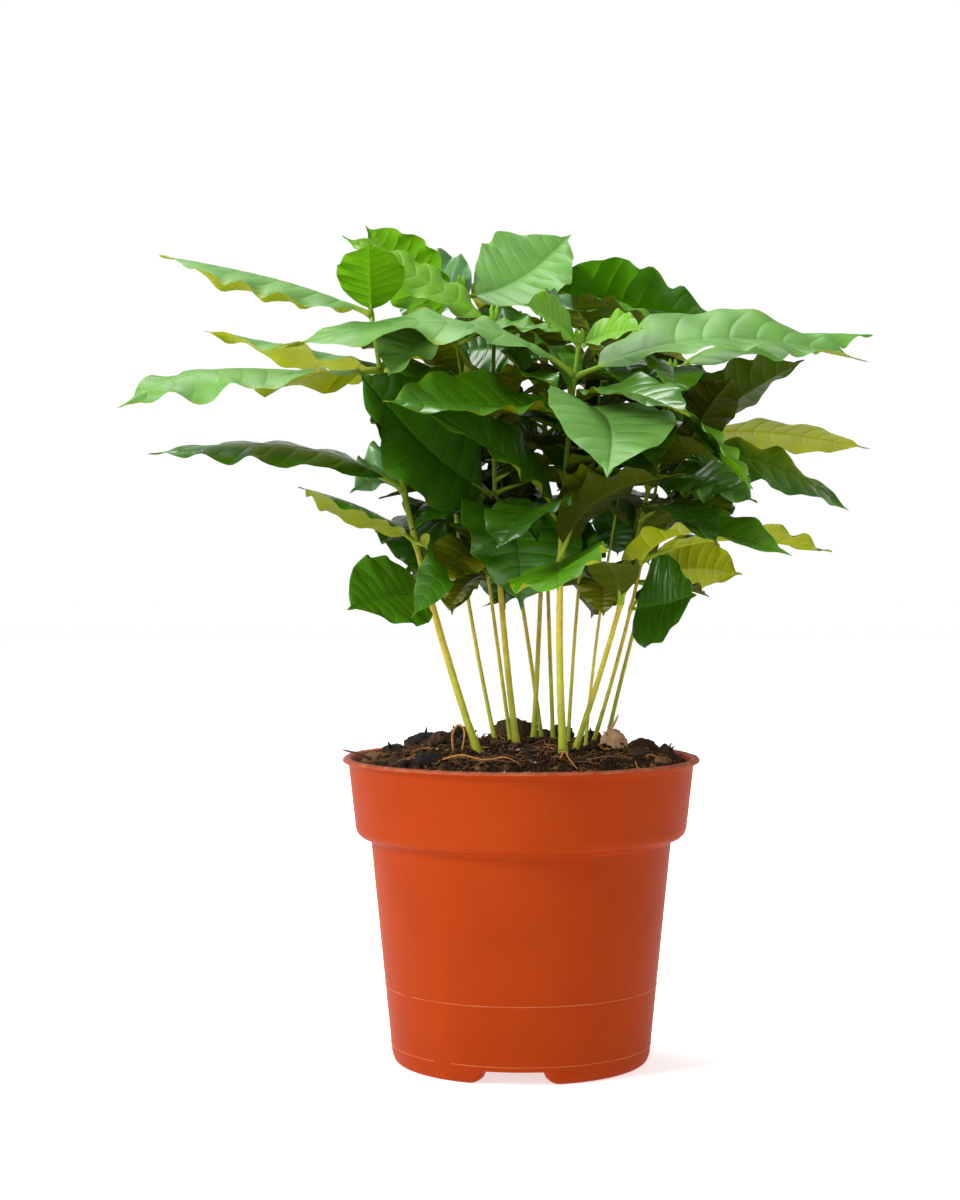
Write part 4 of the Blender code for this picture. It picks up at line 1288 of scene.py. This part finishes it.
def pot_profile():
    """From the inner wall over the lip, down the outside and under the foot ring."""
    lip_foot = POT_HEIGHT - LIP_HEIGHT
    lip_start = (COLLAR_TOP_RADIUS - 0.6 * MM, POT_HEIGHT - 0.7 * MM)
    inside = soft_profile(inner_wall() + [lip_start], 0.8 * MM, 3.0 * MM)
    outside = soft_profile([
        lip_start,
        (RIM_RADIUS - 1.9 * MM, POT_HEIGHT),
        (RIM_RADIUS - 0.8 * MM, POT_HEIGHT),
        (RIM_RADIUS, POT_HEIGHT - 0.7 * MM),
        (RIM_RADIUS, POT_HEIGHT - 1.3 * MM),
        (RIM_RADIUS - 0.5 * MM, POT_HEIGHT - 1.7 * MM),
        (COLLAR_TOP_RADIUS + 0.3 * MM, POT_HEIGHT - 2.1 * MM),
        (COLLAR_TOP_RADIUS, lip_foot - 0.3 * MM),
        (COLLAR_FOOT_RADIUS, COLLAR_FOOT_Z),
        (COLLAR_FOOT_RADIUS - 0.5 * MM, COLLAR_FOOT_Z - 1.8 * MM),
        (COLLAR_FOOT_RADIUS - 2.0 * MM, COLLAR_FOOT_Z - 3.2 * MM),
        (BODY_TOP_RADIUS + 0.8 * MM, BODY_TOP_Z + 1.0 * MM),
        (BODY_TOP_RADIUS, BODY_TOP_Z),
        (body_radius(MOULD_LINES[0]), MOULD_LINES[0]),
        (body_radius(MOULD_LINES[1]), MOULD_LINES[1]),
        (BODY_FOOT_RADIUS, BODY_FOOT_Z),
        (BODY_FOOT_RADIUS - 0.8 * MM, 0.9 * MM),
        (FOOT_OUTER_RADIUS, 0.0),
        (FOOT_INNER_RADIUS, 0.0),
        (FOOT_INNER_RADIUS - 0.4 * MM, FLOOR_Z),
        (DRAIN_RING_RADIUS + DRAIN_RADIUS, FLOOR_Z),
    ], 0.45 * MM, 1.6 * MM)
    return inside + outside[1:]


def notch_rise(angle):
    """How high the foot ring is cut away at an angle round the pot."""
    spacing = math.tau / NOTCH_COUNT
    off = (angle - NOTCH_TURN + spacing / 2) % spacing - spacing / 2
    reach = abs(off) * FOOT_OUTER_RADIUS
    slope = (NOTCH_FOOT_WIDTH / 2 - reach) / ((NOTCH_FOOT_WIDTH - NOTCH_TOP_WIDTH) / 2)
    share = min(max(slope, 0.0), 1.0)
    return NOTCH_HEIGHT * (1.0 - math.sqrt(1.0 - share * share))


def pot_points(profile):
    """The profile turned round, with the notches cut and the lip scuffed."""
    points = np.zeros((len(profile), POT_SIDES, 3))
    ceiling = NOTCH_HEIGHT + 1.2 * MM
    for side in range(POT_SIDES):
        turn = math.tau * side / POT_SIDES
        for ring, (radius, height) in enumerate(profile):
            wobble = ring_noise(turn, 3, height / (8 * MM))
            if height < ceiling and radius > FOOT_INNER_RADIUS - 2 * MM:
                height += notch_rise(turn) * (ceiling - height) / ceiling
            radius += 0.05 * MM * wobble
            if height > POT_HEIGHT - 1.4 * MM and radius > COLLAR_TOP_RADIUS:
                worn, fine = ring_noise(turn, 22, 2.0), ring_noise(turn, 60, 5.0)
                height += (0.22 * worn + 0.12 * fine - 0.15) * MM
                radius += (0.16 * worn - 0.06) * MM
            points[ring, side] = round_point(radius, turn, height)
    return points.reshape(-1, 3)


def make_pot():
    """The pot's shell, with a scuffed lip and a notched foot ring."""
    profile = pot_profile()
    rings = len(profile)
    faces, seam = ring_faces(rings, POT_SIDES)
    steps = [math.hypot(b[0] - a[0], b[1] - a[1]) for a, b in zip(profile, profile[1:])]
    runs = np.concatenate(([0.0], np.cumsum(steps)))
    u = np.tile(np.arange(POT_SIDES) / POT_SIDES, rings)
    v = np.repeat(runs / runs[-1], POT_SIDES)
    # The wall takes the upper four fifths of the bake map, and the floor the rest.
    flat = np.stack([0.002 + 0.996 * u, 0.21 + 0.785 * v], axis=1)
    seam_map = flat[seam].copy()
    seam_map[:, 1:3, 0] = 0.998
    kinds = np.array([ring_kind(profile, ring) for ring in range(rings - 1)])
    batch = Batch()
    batch.add(pot_points(profile), faces, np.repeat(kinds, POT_SIDES - 1), flat[faces])
    batch.add_faces(seam, kinds, seam_map, 0)
    add_pot_floor(batch)
    pot = batch.make("pot_shell", [material_of("terracotta_plastic"), material_of("pale_lip")])
    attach(pot, "root")
    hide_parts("pot")


def ring_kind(profile, ring):
    """Which material a band of the profile has: 0 the wall's or 1 the paler lip top's."""
    radius, height = profile[ring + 1]
    return int(height > POT_HEIGHT - 1.0 * MM and radius > COLLAR_TOP_RADIUS - 0.4 * MM)


def add_pot_floor(batch):
    """The pot's floor with its drain holes, seen from below and through the holes."""
    top = FLOOR_Z + WALL
    outer = DRAIN_RING_RADIUS + DRAIN_RADIUS
    holes = []
    for index in range(DRAIN_COUNT):
        turn = math.tau * (index + 0.5) / DRAIN_COUNT
        holes.append(round_point(DRAIN_RING_RADIUS, turn, 0.0))
    places, faces = holed_disc(outer + 0.2 * MM, holes)
    flat = places[:, :2] / (2.2 * outer)
    for height, wanted, left in ((top, 1.0, 0.1), (FLOOR_Z, -1.0, 0.3)):
        level = places + np.array([0.0, 0.0, height])
        uvs = flat * 0.19 + np.array([left, 0.1])
        turned_faces = orient(level, faces, wanted)
        batch.add(level, turned_faces, 0, uvs[turned_faces])
    walls, wall_faces = [], []
    for middle in holes:
        base = len(walls)
        for step in range(DRAIN_SIDES):
            turn = math.tau * step / DRAIN_SIDES
            for height in (FLOOR_Z, top):
                walls.append(np.add(middle, round_point(DRAIN_RADIUS, turn, height)))
        for step in range(DRAIN_SIDES):
            a, b = base + 2 * step, base + 2 * ((step + 1) % DRAIN_SIDES)
            wall_faces.append((a, a + 1, b + 1, b))
    walls = np.array(walls)
    wall_faces = np.array(wall_faces)
    wall_map = np.stack([0.45 + walls[:, 0] * 0.5, 0.1 + walls[:, 1] * 0.5], axis=1)
    batch.add(walls, wall_faces, 0, wall_map[wall_faces])


def holed_disc(radius, holes):
    """Points and triangles of a flat disc with round holes."""
    shape = bmesh.new()
    bmesh.ops.create_circle(shape, segments=POT_SIDES, radius=radius)
    for hole in holes:
        circle = bmesh.ops.create_circle(shape, segments=DRAIN_SIDES, radius=DRAIN_RADIUS)
        bmesh.ops.translate(shape, verts=circle["verts"], vec=hole)
    bmesh.ops.triangle_fill(shape, edges=shape.edges[:], use_beauty=True)
    inside = []
    for face in shape.faces:
        middle = face.calc_center_median()
        if any(math.dist(middle, hole) < DRAIN_RADIUS * 0.98 for hole in holes):
            inside.append(face)
    bmesh.ops.delete(shape, geom=inside, context="FACES_ONLY")
    return shape_arrays(shape)


def shape_arrays(shape):
    """A bmesh's points and faces as arrays; the bmesh is freed."""
    shape.verts.index_update()
    points = np.array([vert.co for vert in shape.verts])
    faces = np.array([[vert.index for vert in face.verts] for face in shape.faces])
    shape.free()
    return points, faces


def orient(points, faces, wanted):
    """Triangles turned so that each faces up or down as wanted."""
    a, b, c = (points[faces[:, i]] for i in range(3))
    upward = np.cross(b - a, c - a)[:, 2] * wanted > 0
    return np.where(upward[:, None], faces, faces[:, ::-1])


def make_mould_lines():
    """Two faint raised lines round the pot's wall, broken here and there, paler than the wall as a painted
    highlight along each ridge.
    """
    batch = Batch()
    for line, (height, missing) in enumerate(zip(MOULD_LINES, LINE_GAPS)):
        for side in range(LINE_SIDES):
            turn, after = (math.tau * (side + end) / LINE_SIDES for end in (0, 1))
            if ring_noise(turn, 2.2, 4.0 + 9.0 * line) < missing:
                continue
            points = []
            for place in (turn, after):
                wander = 0.10 * MM * ring_noise(place, 6, line)
                for offset, out in ((-LINE_HALF, -0.06 * MM), (0.0, 0.08 * MM), (LINE_HALF, -0.06 * MM)):
                    z = height + wander + offset
                    radius = body_radius(z) + out + 0.05 * MM
                    points.append(round_point(radius, place, z))
            batch.add(points, [(0, 3, 4, 1), (1, 4, 5, 2)], 0)
    lines = batch.make("mould_lines", [material_of("mould_line")], with_map=False)
    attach(lines, "root")
    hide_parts("pot")


# --- soil ----------------------------------------------------------------------


def fine_soil_height(x, y):
    """The mound with its crumbly relief."""
    height = soil_height(x, y)
    place = Vector((x, y, 0.0)) / MM
    height += 0.55 * MM * noise.noise(place * 0.33 + UP * 3.0)
    height += 0.50 * MM * noise.noise(place * 0.85 + UP * 7.0)
    height += 0.30 * MM * abs(noise.noise(place * 1.9 + UP * 11.0))
    return height


def make_soil_bed():
    """A crumbly mound that fills the pot, closed underneath."""
    wall = [(radius - CLEARANCE, height) for radius, height in inner_wall()]
    wall[0] = (wall[0][0], wall[0][1] + CLEARANCE)
    edge = COLLAR_TOP_RADIUS - WALL - CLEARANCE
    rings = [edge * (step + 1) / SOIL_RINGS for step in range(SOIL_RINGS)]
    skirt = list(reversed(wall[:-1])) + [(0.4 * wall[0][0], wall[0][1])]
    points = np.zeros((SOIL_RINGS + len(skirt), SOIL_SIDES, 3))
    for side in range(SOIL_SIDES):
        turn = math.tau * side / SOIL_SIDES
        for ring, radius in enumerate(rings):
            x, y, _ = round_point(radius, turn, 0.0)
            points[ring, side] = (x, y, fine_soil_height(x, y))
        for ring, (radius, height) in enumerate(skirt):
            points[SOIL_RINGS + ring, side] = round_point(radius, turn, height)
    batch = Batch()
    count = SOIL_RINGS + len(skirt)
    faces = np.concatenate(ring_faces(count, SOIL_SIDES))
    flat = points.reshape(-1, 3)
    centre = np.array([[0.0, 0.0, fine_soil_height(0.0, 0.0)], [0.0, 0.0, wall[0][1]]])
    batch.add(np.concatenate([flat, centre]), faces, 0)
    hub = len(flat)
    around = np.arange(SOIL_SIDES)
    top = np.stack([np.full(SOIL_SIDES, hub), around, (around + 1) % SOIL_SIDES], axis=1)
    last = (count - 1) * SOIL_SIDES
    low = np.stack([np.full(SOIL_SIDES, hub + 1), last + (around + 1) % SOIL_SIDES, last + around], axis=1)
    batch.add_faces(np.concatenate([top, low]), 0, None, 0)
    soil = batch.make("soil_bed", [material_of("peat")], with_map=False)
    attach(soil, "root")
    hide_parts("soil")


def unit_ball(subdivisions):
    """Points and triangles of a ball with a radius of 1."""
    shape = bmesh.new()
    bmesh.ops.create_icosphere(shape, subdivisions=subdivisions, radius=1.0)
    return shape_arrays(shape)


# The grains on the soil: how many, how finely cut, half size from and to in millimetres,
# materials to choose from, and how far out they lie.
CRUMBS = (
    (5200, 1, (0.22, 0.75), (0, 0, 0, 0, 1, 1, 1, 1, 2, 3, 3), 1.0),
    (420, 2, (0.7, 1.5), (0, 0, 0, 1, 1, 1, 2), 1.0),
    (26, 2, (1.5, 2.4), (0, 0, 1), 0.97),
    (30, 1, (0.3, 0.7), (4,), 1.0),
)
LOOSE_ROOTS = 220


def add_crumbs(batch, rng, count, ball, sizes, kinds, reach):
    """Scatter rough grains on the mound, each stretched and turned by chance."""
    points, faces = ball
    edge = COLLAR_TOP_RADIUS - WALL
    for _ in range(count):
        size = rng.uniform(*sizes) * MM
        radius = (edge - 1.2 * size) * math.sqrt(rng.random()) * reach
        turn = rng.uniform(0.0, math.tau)
        x, y = radius * math.cos(turn), radius * math.sin(turn)
        stretch = np.array([rng.uniform(0.6, 1.5), rng.uniform(0.6, 1.2), rng.uniform(0.45, 1.0)])
        rough = np.array([rng.uniform(0.62, 1.25) for _ in range(len(points))])[:, None]
        shape = points * rough * stretch * size
        spin = rng.uniform(0.0, math.tau)
        cos, sin = math.cos(spin), math.sin(spin)
        lean = rng.uniform(-0.8, 0.8)
        rise, fall = math.cos(lean), math.sin(lean)
        tilt = np.array([[1, 0, 0], [0, rise, -fall], [0, fall, rise]])
        turned = np.array([[cos, -sin, 0], [sin, cos, 0], [0, 0, 1]]) @ tilt
        place = np.array([x, y, fine_soil_height(x, y) + rng.uniform(-0.1, 0.55) * size])
        batch.add(shape @ turned.T + place, faces, rng.choice(kinds))


def make_crumbs():
    """Loose grains of peat, bark and perlite on the mound."""
    rng = random.Random(SEED)
    balls = {1: unit_ball(1), 2: unit_ball(2)}
    materials = grain_materials(CRUMB_COLOURS)
    batch = Batch()
    for count, fineness, sizes, kinds, reach in CRUMBS:
        add_crumbs(batch, rng, count, balls[fineness], sizes, kinds, reach)
    crumbs = batch.make("soil_crumbs", materials, with_map=False)
    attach(crumbs, "root")
    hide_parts("soil")


def grain_materials(colours):
    """A dull, rough material for each kind of grain, bark or root."""
    return [
        pattern_material(name, pair, (0.75, 0.95), 700.0, 0.25, bump=0.6, bump_scale=1500.0)
        for name, pair in colours.items()
    ]


# Bigger bits that lie on the soil, in millimetres: place, half size across, deep and
# up, which of the litter's materials, and how many spikes.
LUMPS = (
    ((-34, 30), (6.5, 5.0, 5.0), 0, 9),
    ((-21, 33), (5.5, 5.0, 6.5), 0, 9),
    ((-2, 15), (8.2, 6.5, 6.6), 1, 0),
    ((31, -3), (4.6, 3.6, 5.6), 3, 2),
    ((-48, -14), (4.3, 3.6, 3.6), 2, 3),
    ((42, 22), (5.0, 4.0, 4.2), 1, 0),
    ((49, 14), (3.8, 3.0, 3.8), 1, 2),
    ((-30, -32), (6.0, 5.0, 2.6), 0, 0),
    ((-43, 2), (4.4, 3.6, 3.0), 0, 2),
    ((-27, 8), (4.4, 3.8, 4.2), 1, 1),
    ((14, 22), (4.6, 3.4, 4.6), 0, 0),
    ((24, 8), (4.0, 3.0, 3.6), 0, 1),
    ((38, -12), (3.6, 3.0, 2.4), 1, 0),
    ((46, -18), (2.8, 2.4, 2.0), 2, 0),
    ((-40, -26), (3.0, 2.8, 2.0), 1, 0),
    ((8, 40), (5.0, 4.0, 4.4), 0, 0),
)


def add_lump(batch, ball, number, middle, halves, kind, spikes, rng):
    """A rough lump of bark, sunk half way into the soil, with spikes that stand off it."""
    x, y = (MM * length for length in middle)
    centre = Vector((x, y, soil_height(x, y)))
    points, faces = ball
    shape = []
    for point in points:
        place = Vector(point)
        rough = 1.0 + 0.22 * noise.noise(place * 1.7 + UP * 5.0 * number)
        rough += 0.13 * noise.noise(place * 4.5 + UP * 3.0 * number)
        rough += 0.06 * noise.noise(place * 11.0 + UP * number)
        shape.append([centre[axis] + place[axis] * rough * halves[axis] * MM for axis in range(3)])
    batch.add(shape, faces, kind)
    for _ in range(spikes):
        lean = Vector((rng.uniform(-1, 1), rng.uniform(-1, 0.4), rng.uniform(0.2, 1.2))).normalized()
        start = centre + Vector([lean[axis] * halves[axis] for axis in range(3)]) * MM * 0.8
        end = start + lean * rng.uniform(1.6, 3.4) * MM
        add_spike(batch, start, end, rng.uniform(0.5, 0.9) * MM, kind)


def make_litter():
    """Bark lumps, a husk, spikes and root fibres that lie in and on the soil."""
    rng = random.Random(SEED + 1)
    materials = grain_materials(LITTER_COLOURS)
    batch = Batch()
    ball = unit_ball(4)
    for number, lump in enumerate(LUMPS):
        add_lump(batch, ball, number, *lump, rng)
    for path, radius, kind in ROOTS:
        add_root(batch, [Vector(point) * MM for point in path], radius * MM, kind)
    for _ in range(LOOSE_ROOTS):
        add_loose_root(batch, rng)
    litter = batch.make("soil_litter", materials, with_map=False)
    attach(litter, "root")
    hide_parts("soil")


def add_spike(batch, start, end, radius, kind):
    """A short straight spike that tapers to a point."""
    steps = [start.lerp(end, share) for share in (0.0, 0.35, 0.7, 1.0)]
    limb(batch, steps, [radius, radius * 0.8, radius * 0.45, radius * 0.12], ROOT_SIDES, kind)


# Roots, a spike and a splinter on the mound, in millimetres: points they pass
# through, radius, and which of the litter's materials.
ROOTS = (
    ((
        (-22, -20, 104), (-22.5, -21, 111), (-20.5, -22, 114.5),
        (-18.5, -23, 112), (-19.5, -26, 105), (-20, -30, 101.5),
    ), 0.42, 4),
    (((-25, -38, 104.6), (-19, -41, 106.2), (-12, -42, 104.8), (-5, -44, 105.8), (0, -45, 103.4)), 0.35, 4),
    (((-16, -46, 102.4), (-10, -44, 104.9), (-3, -45, 104.4), (4, -44, 105.2)), 0.30, 5),
    (((12.5, -38, 104.5), (14, -40, 107.4), (15.5, -42, 105.0), (18, -46, 102.2)), 0.36, 4),
    (((30, -6, 112), (31.5, -6, 114.5), (32.5, -6, 116.8)), 0.55, 3),
    (((-48, -16, 102), (-53, -19, 104.5), (-58.5, -22, 106.2)), 0.6, 2),
    (((22, -36, 104.4), (29, -37, 105.6), (36, -34, 104.0)), 0.30, 5),
    (((-40, -30, 103.0), (-36, -33, 104.6), (-30, -35, 103.8)), 0.35, 5),
)


def add_root(batch, path, radius, kind):
    """A thin root as a smooth curve through a path's points."""
    points = []
    for index in range(len(path) - 1):
        before, start = path[max(index - 1, 0)], path[index]
        end, after = path[index + 1], path[min(index + 2, len(path) - 1)]
        for step in range(6):
            t = step / 6
            points.append(0.5 * (
                2 * start + (end - before) * t + (2 * before - 5 * start + 4 * end - after) * t**2
                + (3 * start - before - 3 * end + after) * t**3
            ))
    points.append(path[-1])
    last = len(points) - 1
    radii = [radius * (1.0 - 0.7 * (index / last) ** 2) for index in range(last + 1)]
    limb(batch, points, radii, ROOT_SIDES, kind)


def add_loose_root(batch, rng):
    """A short curved fibre that lies across the crumbs."""
    radius = (COLLAR_TOP_RADIUS - WALL - 6 * MM) * math.sqrt(rng.random())
    turn = rng.uniform(0, math.tau)
    x, y = radius * math.cos(turn), radius * math.sin(turn)
    heading = rng.uniform(0, math.tau)
    curl = rng.uniform(-0.5, 0.5)
    length = rng.uniform(3, 10) * MM
    path = []
    for _ in range(4):
        lift = rng.uniform(0.5, 1.7) * MM
        path.append(Vector((x, y, fine_soil_height(x, y) + lift)))
        x += math.cos(heading) * length / 3
        y += math.sin(heading) * length / 3
        heading += curl
        if math.hypot(x, y) > COLLAR_TOP_RADIUS - WALL - 0.8 * MM:
            break
    if len(path) > 1:
        add_root(batch, path, rng.uniform(0.12, 0.26) * MM, rng.choice((5, 5, 5, 4, 2)))


# --- surroundings --------------------------------------------------------------


def make_floor():
    """A plain pale floor."""
    mesh = bpy.data.meshes.new("floor")
    corners = [(x * FLOOR_REACH, y * FLOOR_REACH, 0) for x, y in ((-1, -1), (1, -1), (1, 1), (-1, 1))]
    mesh.from_pydata(corners, [], [(0, 1, 2, 3)])
    floor = add_object("floor", mesh)
    paper = material_of("floor_pale")
    shader = paper.node_tree.nodes["Principled BSDF"]
    shader.inputs["Emission Color"].default_value = (1.0, 1.0, 1.0, 1.0)
    shader.inputs["Emission Strength"].default_value = FLOOR_GLOW
    mesh.materials.append(paper)


def add_light(name, place, size, watts):
    """A round soft light that faces the plant."""
    light = bpy.data.lights.new(name, "AREA")
    light.shape = "DISK"
    light.size = size
    light.energy = watts
    lamp = add_object(name, light)
    lamp.location = place
    lamp.rotation_euler = (PLANT_MIDDLE - Vector(place)).to_track_quat("-Z", "Y").to_euler()


def make_studio():
    """White round the horizon and dimmer overhead, a soft key from the left and one above."""
    world = bpy.data.worlds.new("studio")
    bpy.context.scene.world = world
    world.use_nodes = True
    nodes, links = world.node_tree.nodes, world.node_tree.links
    sky = nodes["Background"]
    sky.inputs["Color"].default_value = (1.0, 1.0, 1.0, 1.0)
    place = nodes.new("ShaderNodeTexCoord")
    split = nodes.new("ShaderNodeSeparateXYZ")
    links.new(place.outputs["Generated"], split.inputs["Vector"])
    fade = add_range(
        nodes, links, split.outputs["Z"],
        From_Min=SKY_FADE[0], From_Max=SKY_FADE[1], To_Min=HORIZON_SKY, To_Max=OVERHEAD_SKY,
    )
    fade.interpolation_type = "SMOOTHSTEP"
    links.new(fade.outputs["Result"], sky.inputs["Strength"])
    for lamp in LAMPS:
        add_light(*lamp)


def add_camera():
    """The camera at the photo's own viewpoint."""
    camera = bpy.data.cameras.new("view")
    camera.lens = CAMERA_LENS
    camera.sensor_width = CAMERA_SENSOR
    view = add_object("view", camera)
    view.location = CAMERA_PLACE
    view.rotation_euler = CAMERA_TURN
    bpy.context.scene.camera = view


def main():
    bpy.context.scene.view_settings.view_transform = "Standard"
    crowns = grow_leaves()
    for leaves in crowns:
        for leaf in leaves:
            if leaf["key"] in DRESSES:
                dress(leaf, DRESSES[leaf["key"]])
    fill_crown(crowns)
    materials = leaf_materials()
    for number, leaves in enumerate(crowns):
        make_foliage(number + 1, leaves, materials)
    make_stalks(crowns)
    make_pot()
    make_mould_lines()
    make_soil_bed()
    make_crumbs()
    make_litter()
    make_floor()
    make_studio()
    add_camera()


main()
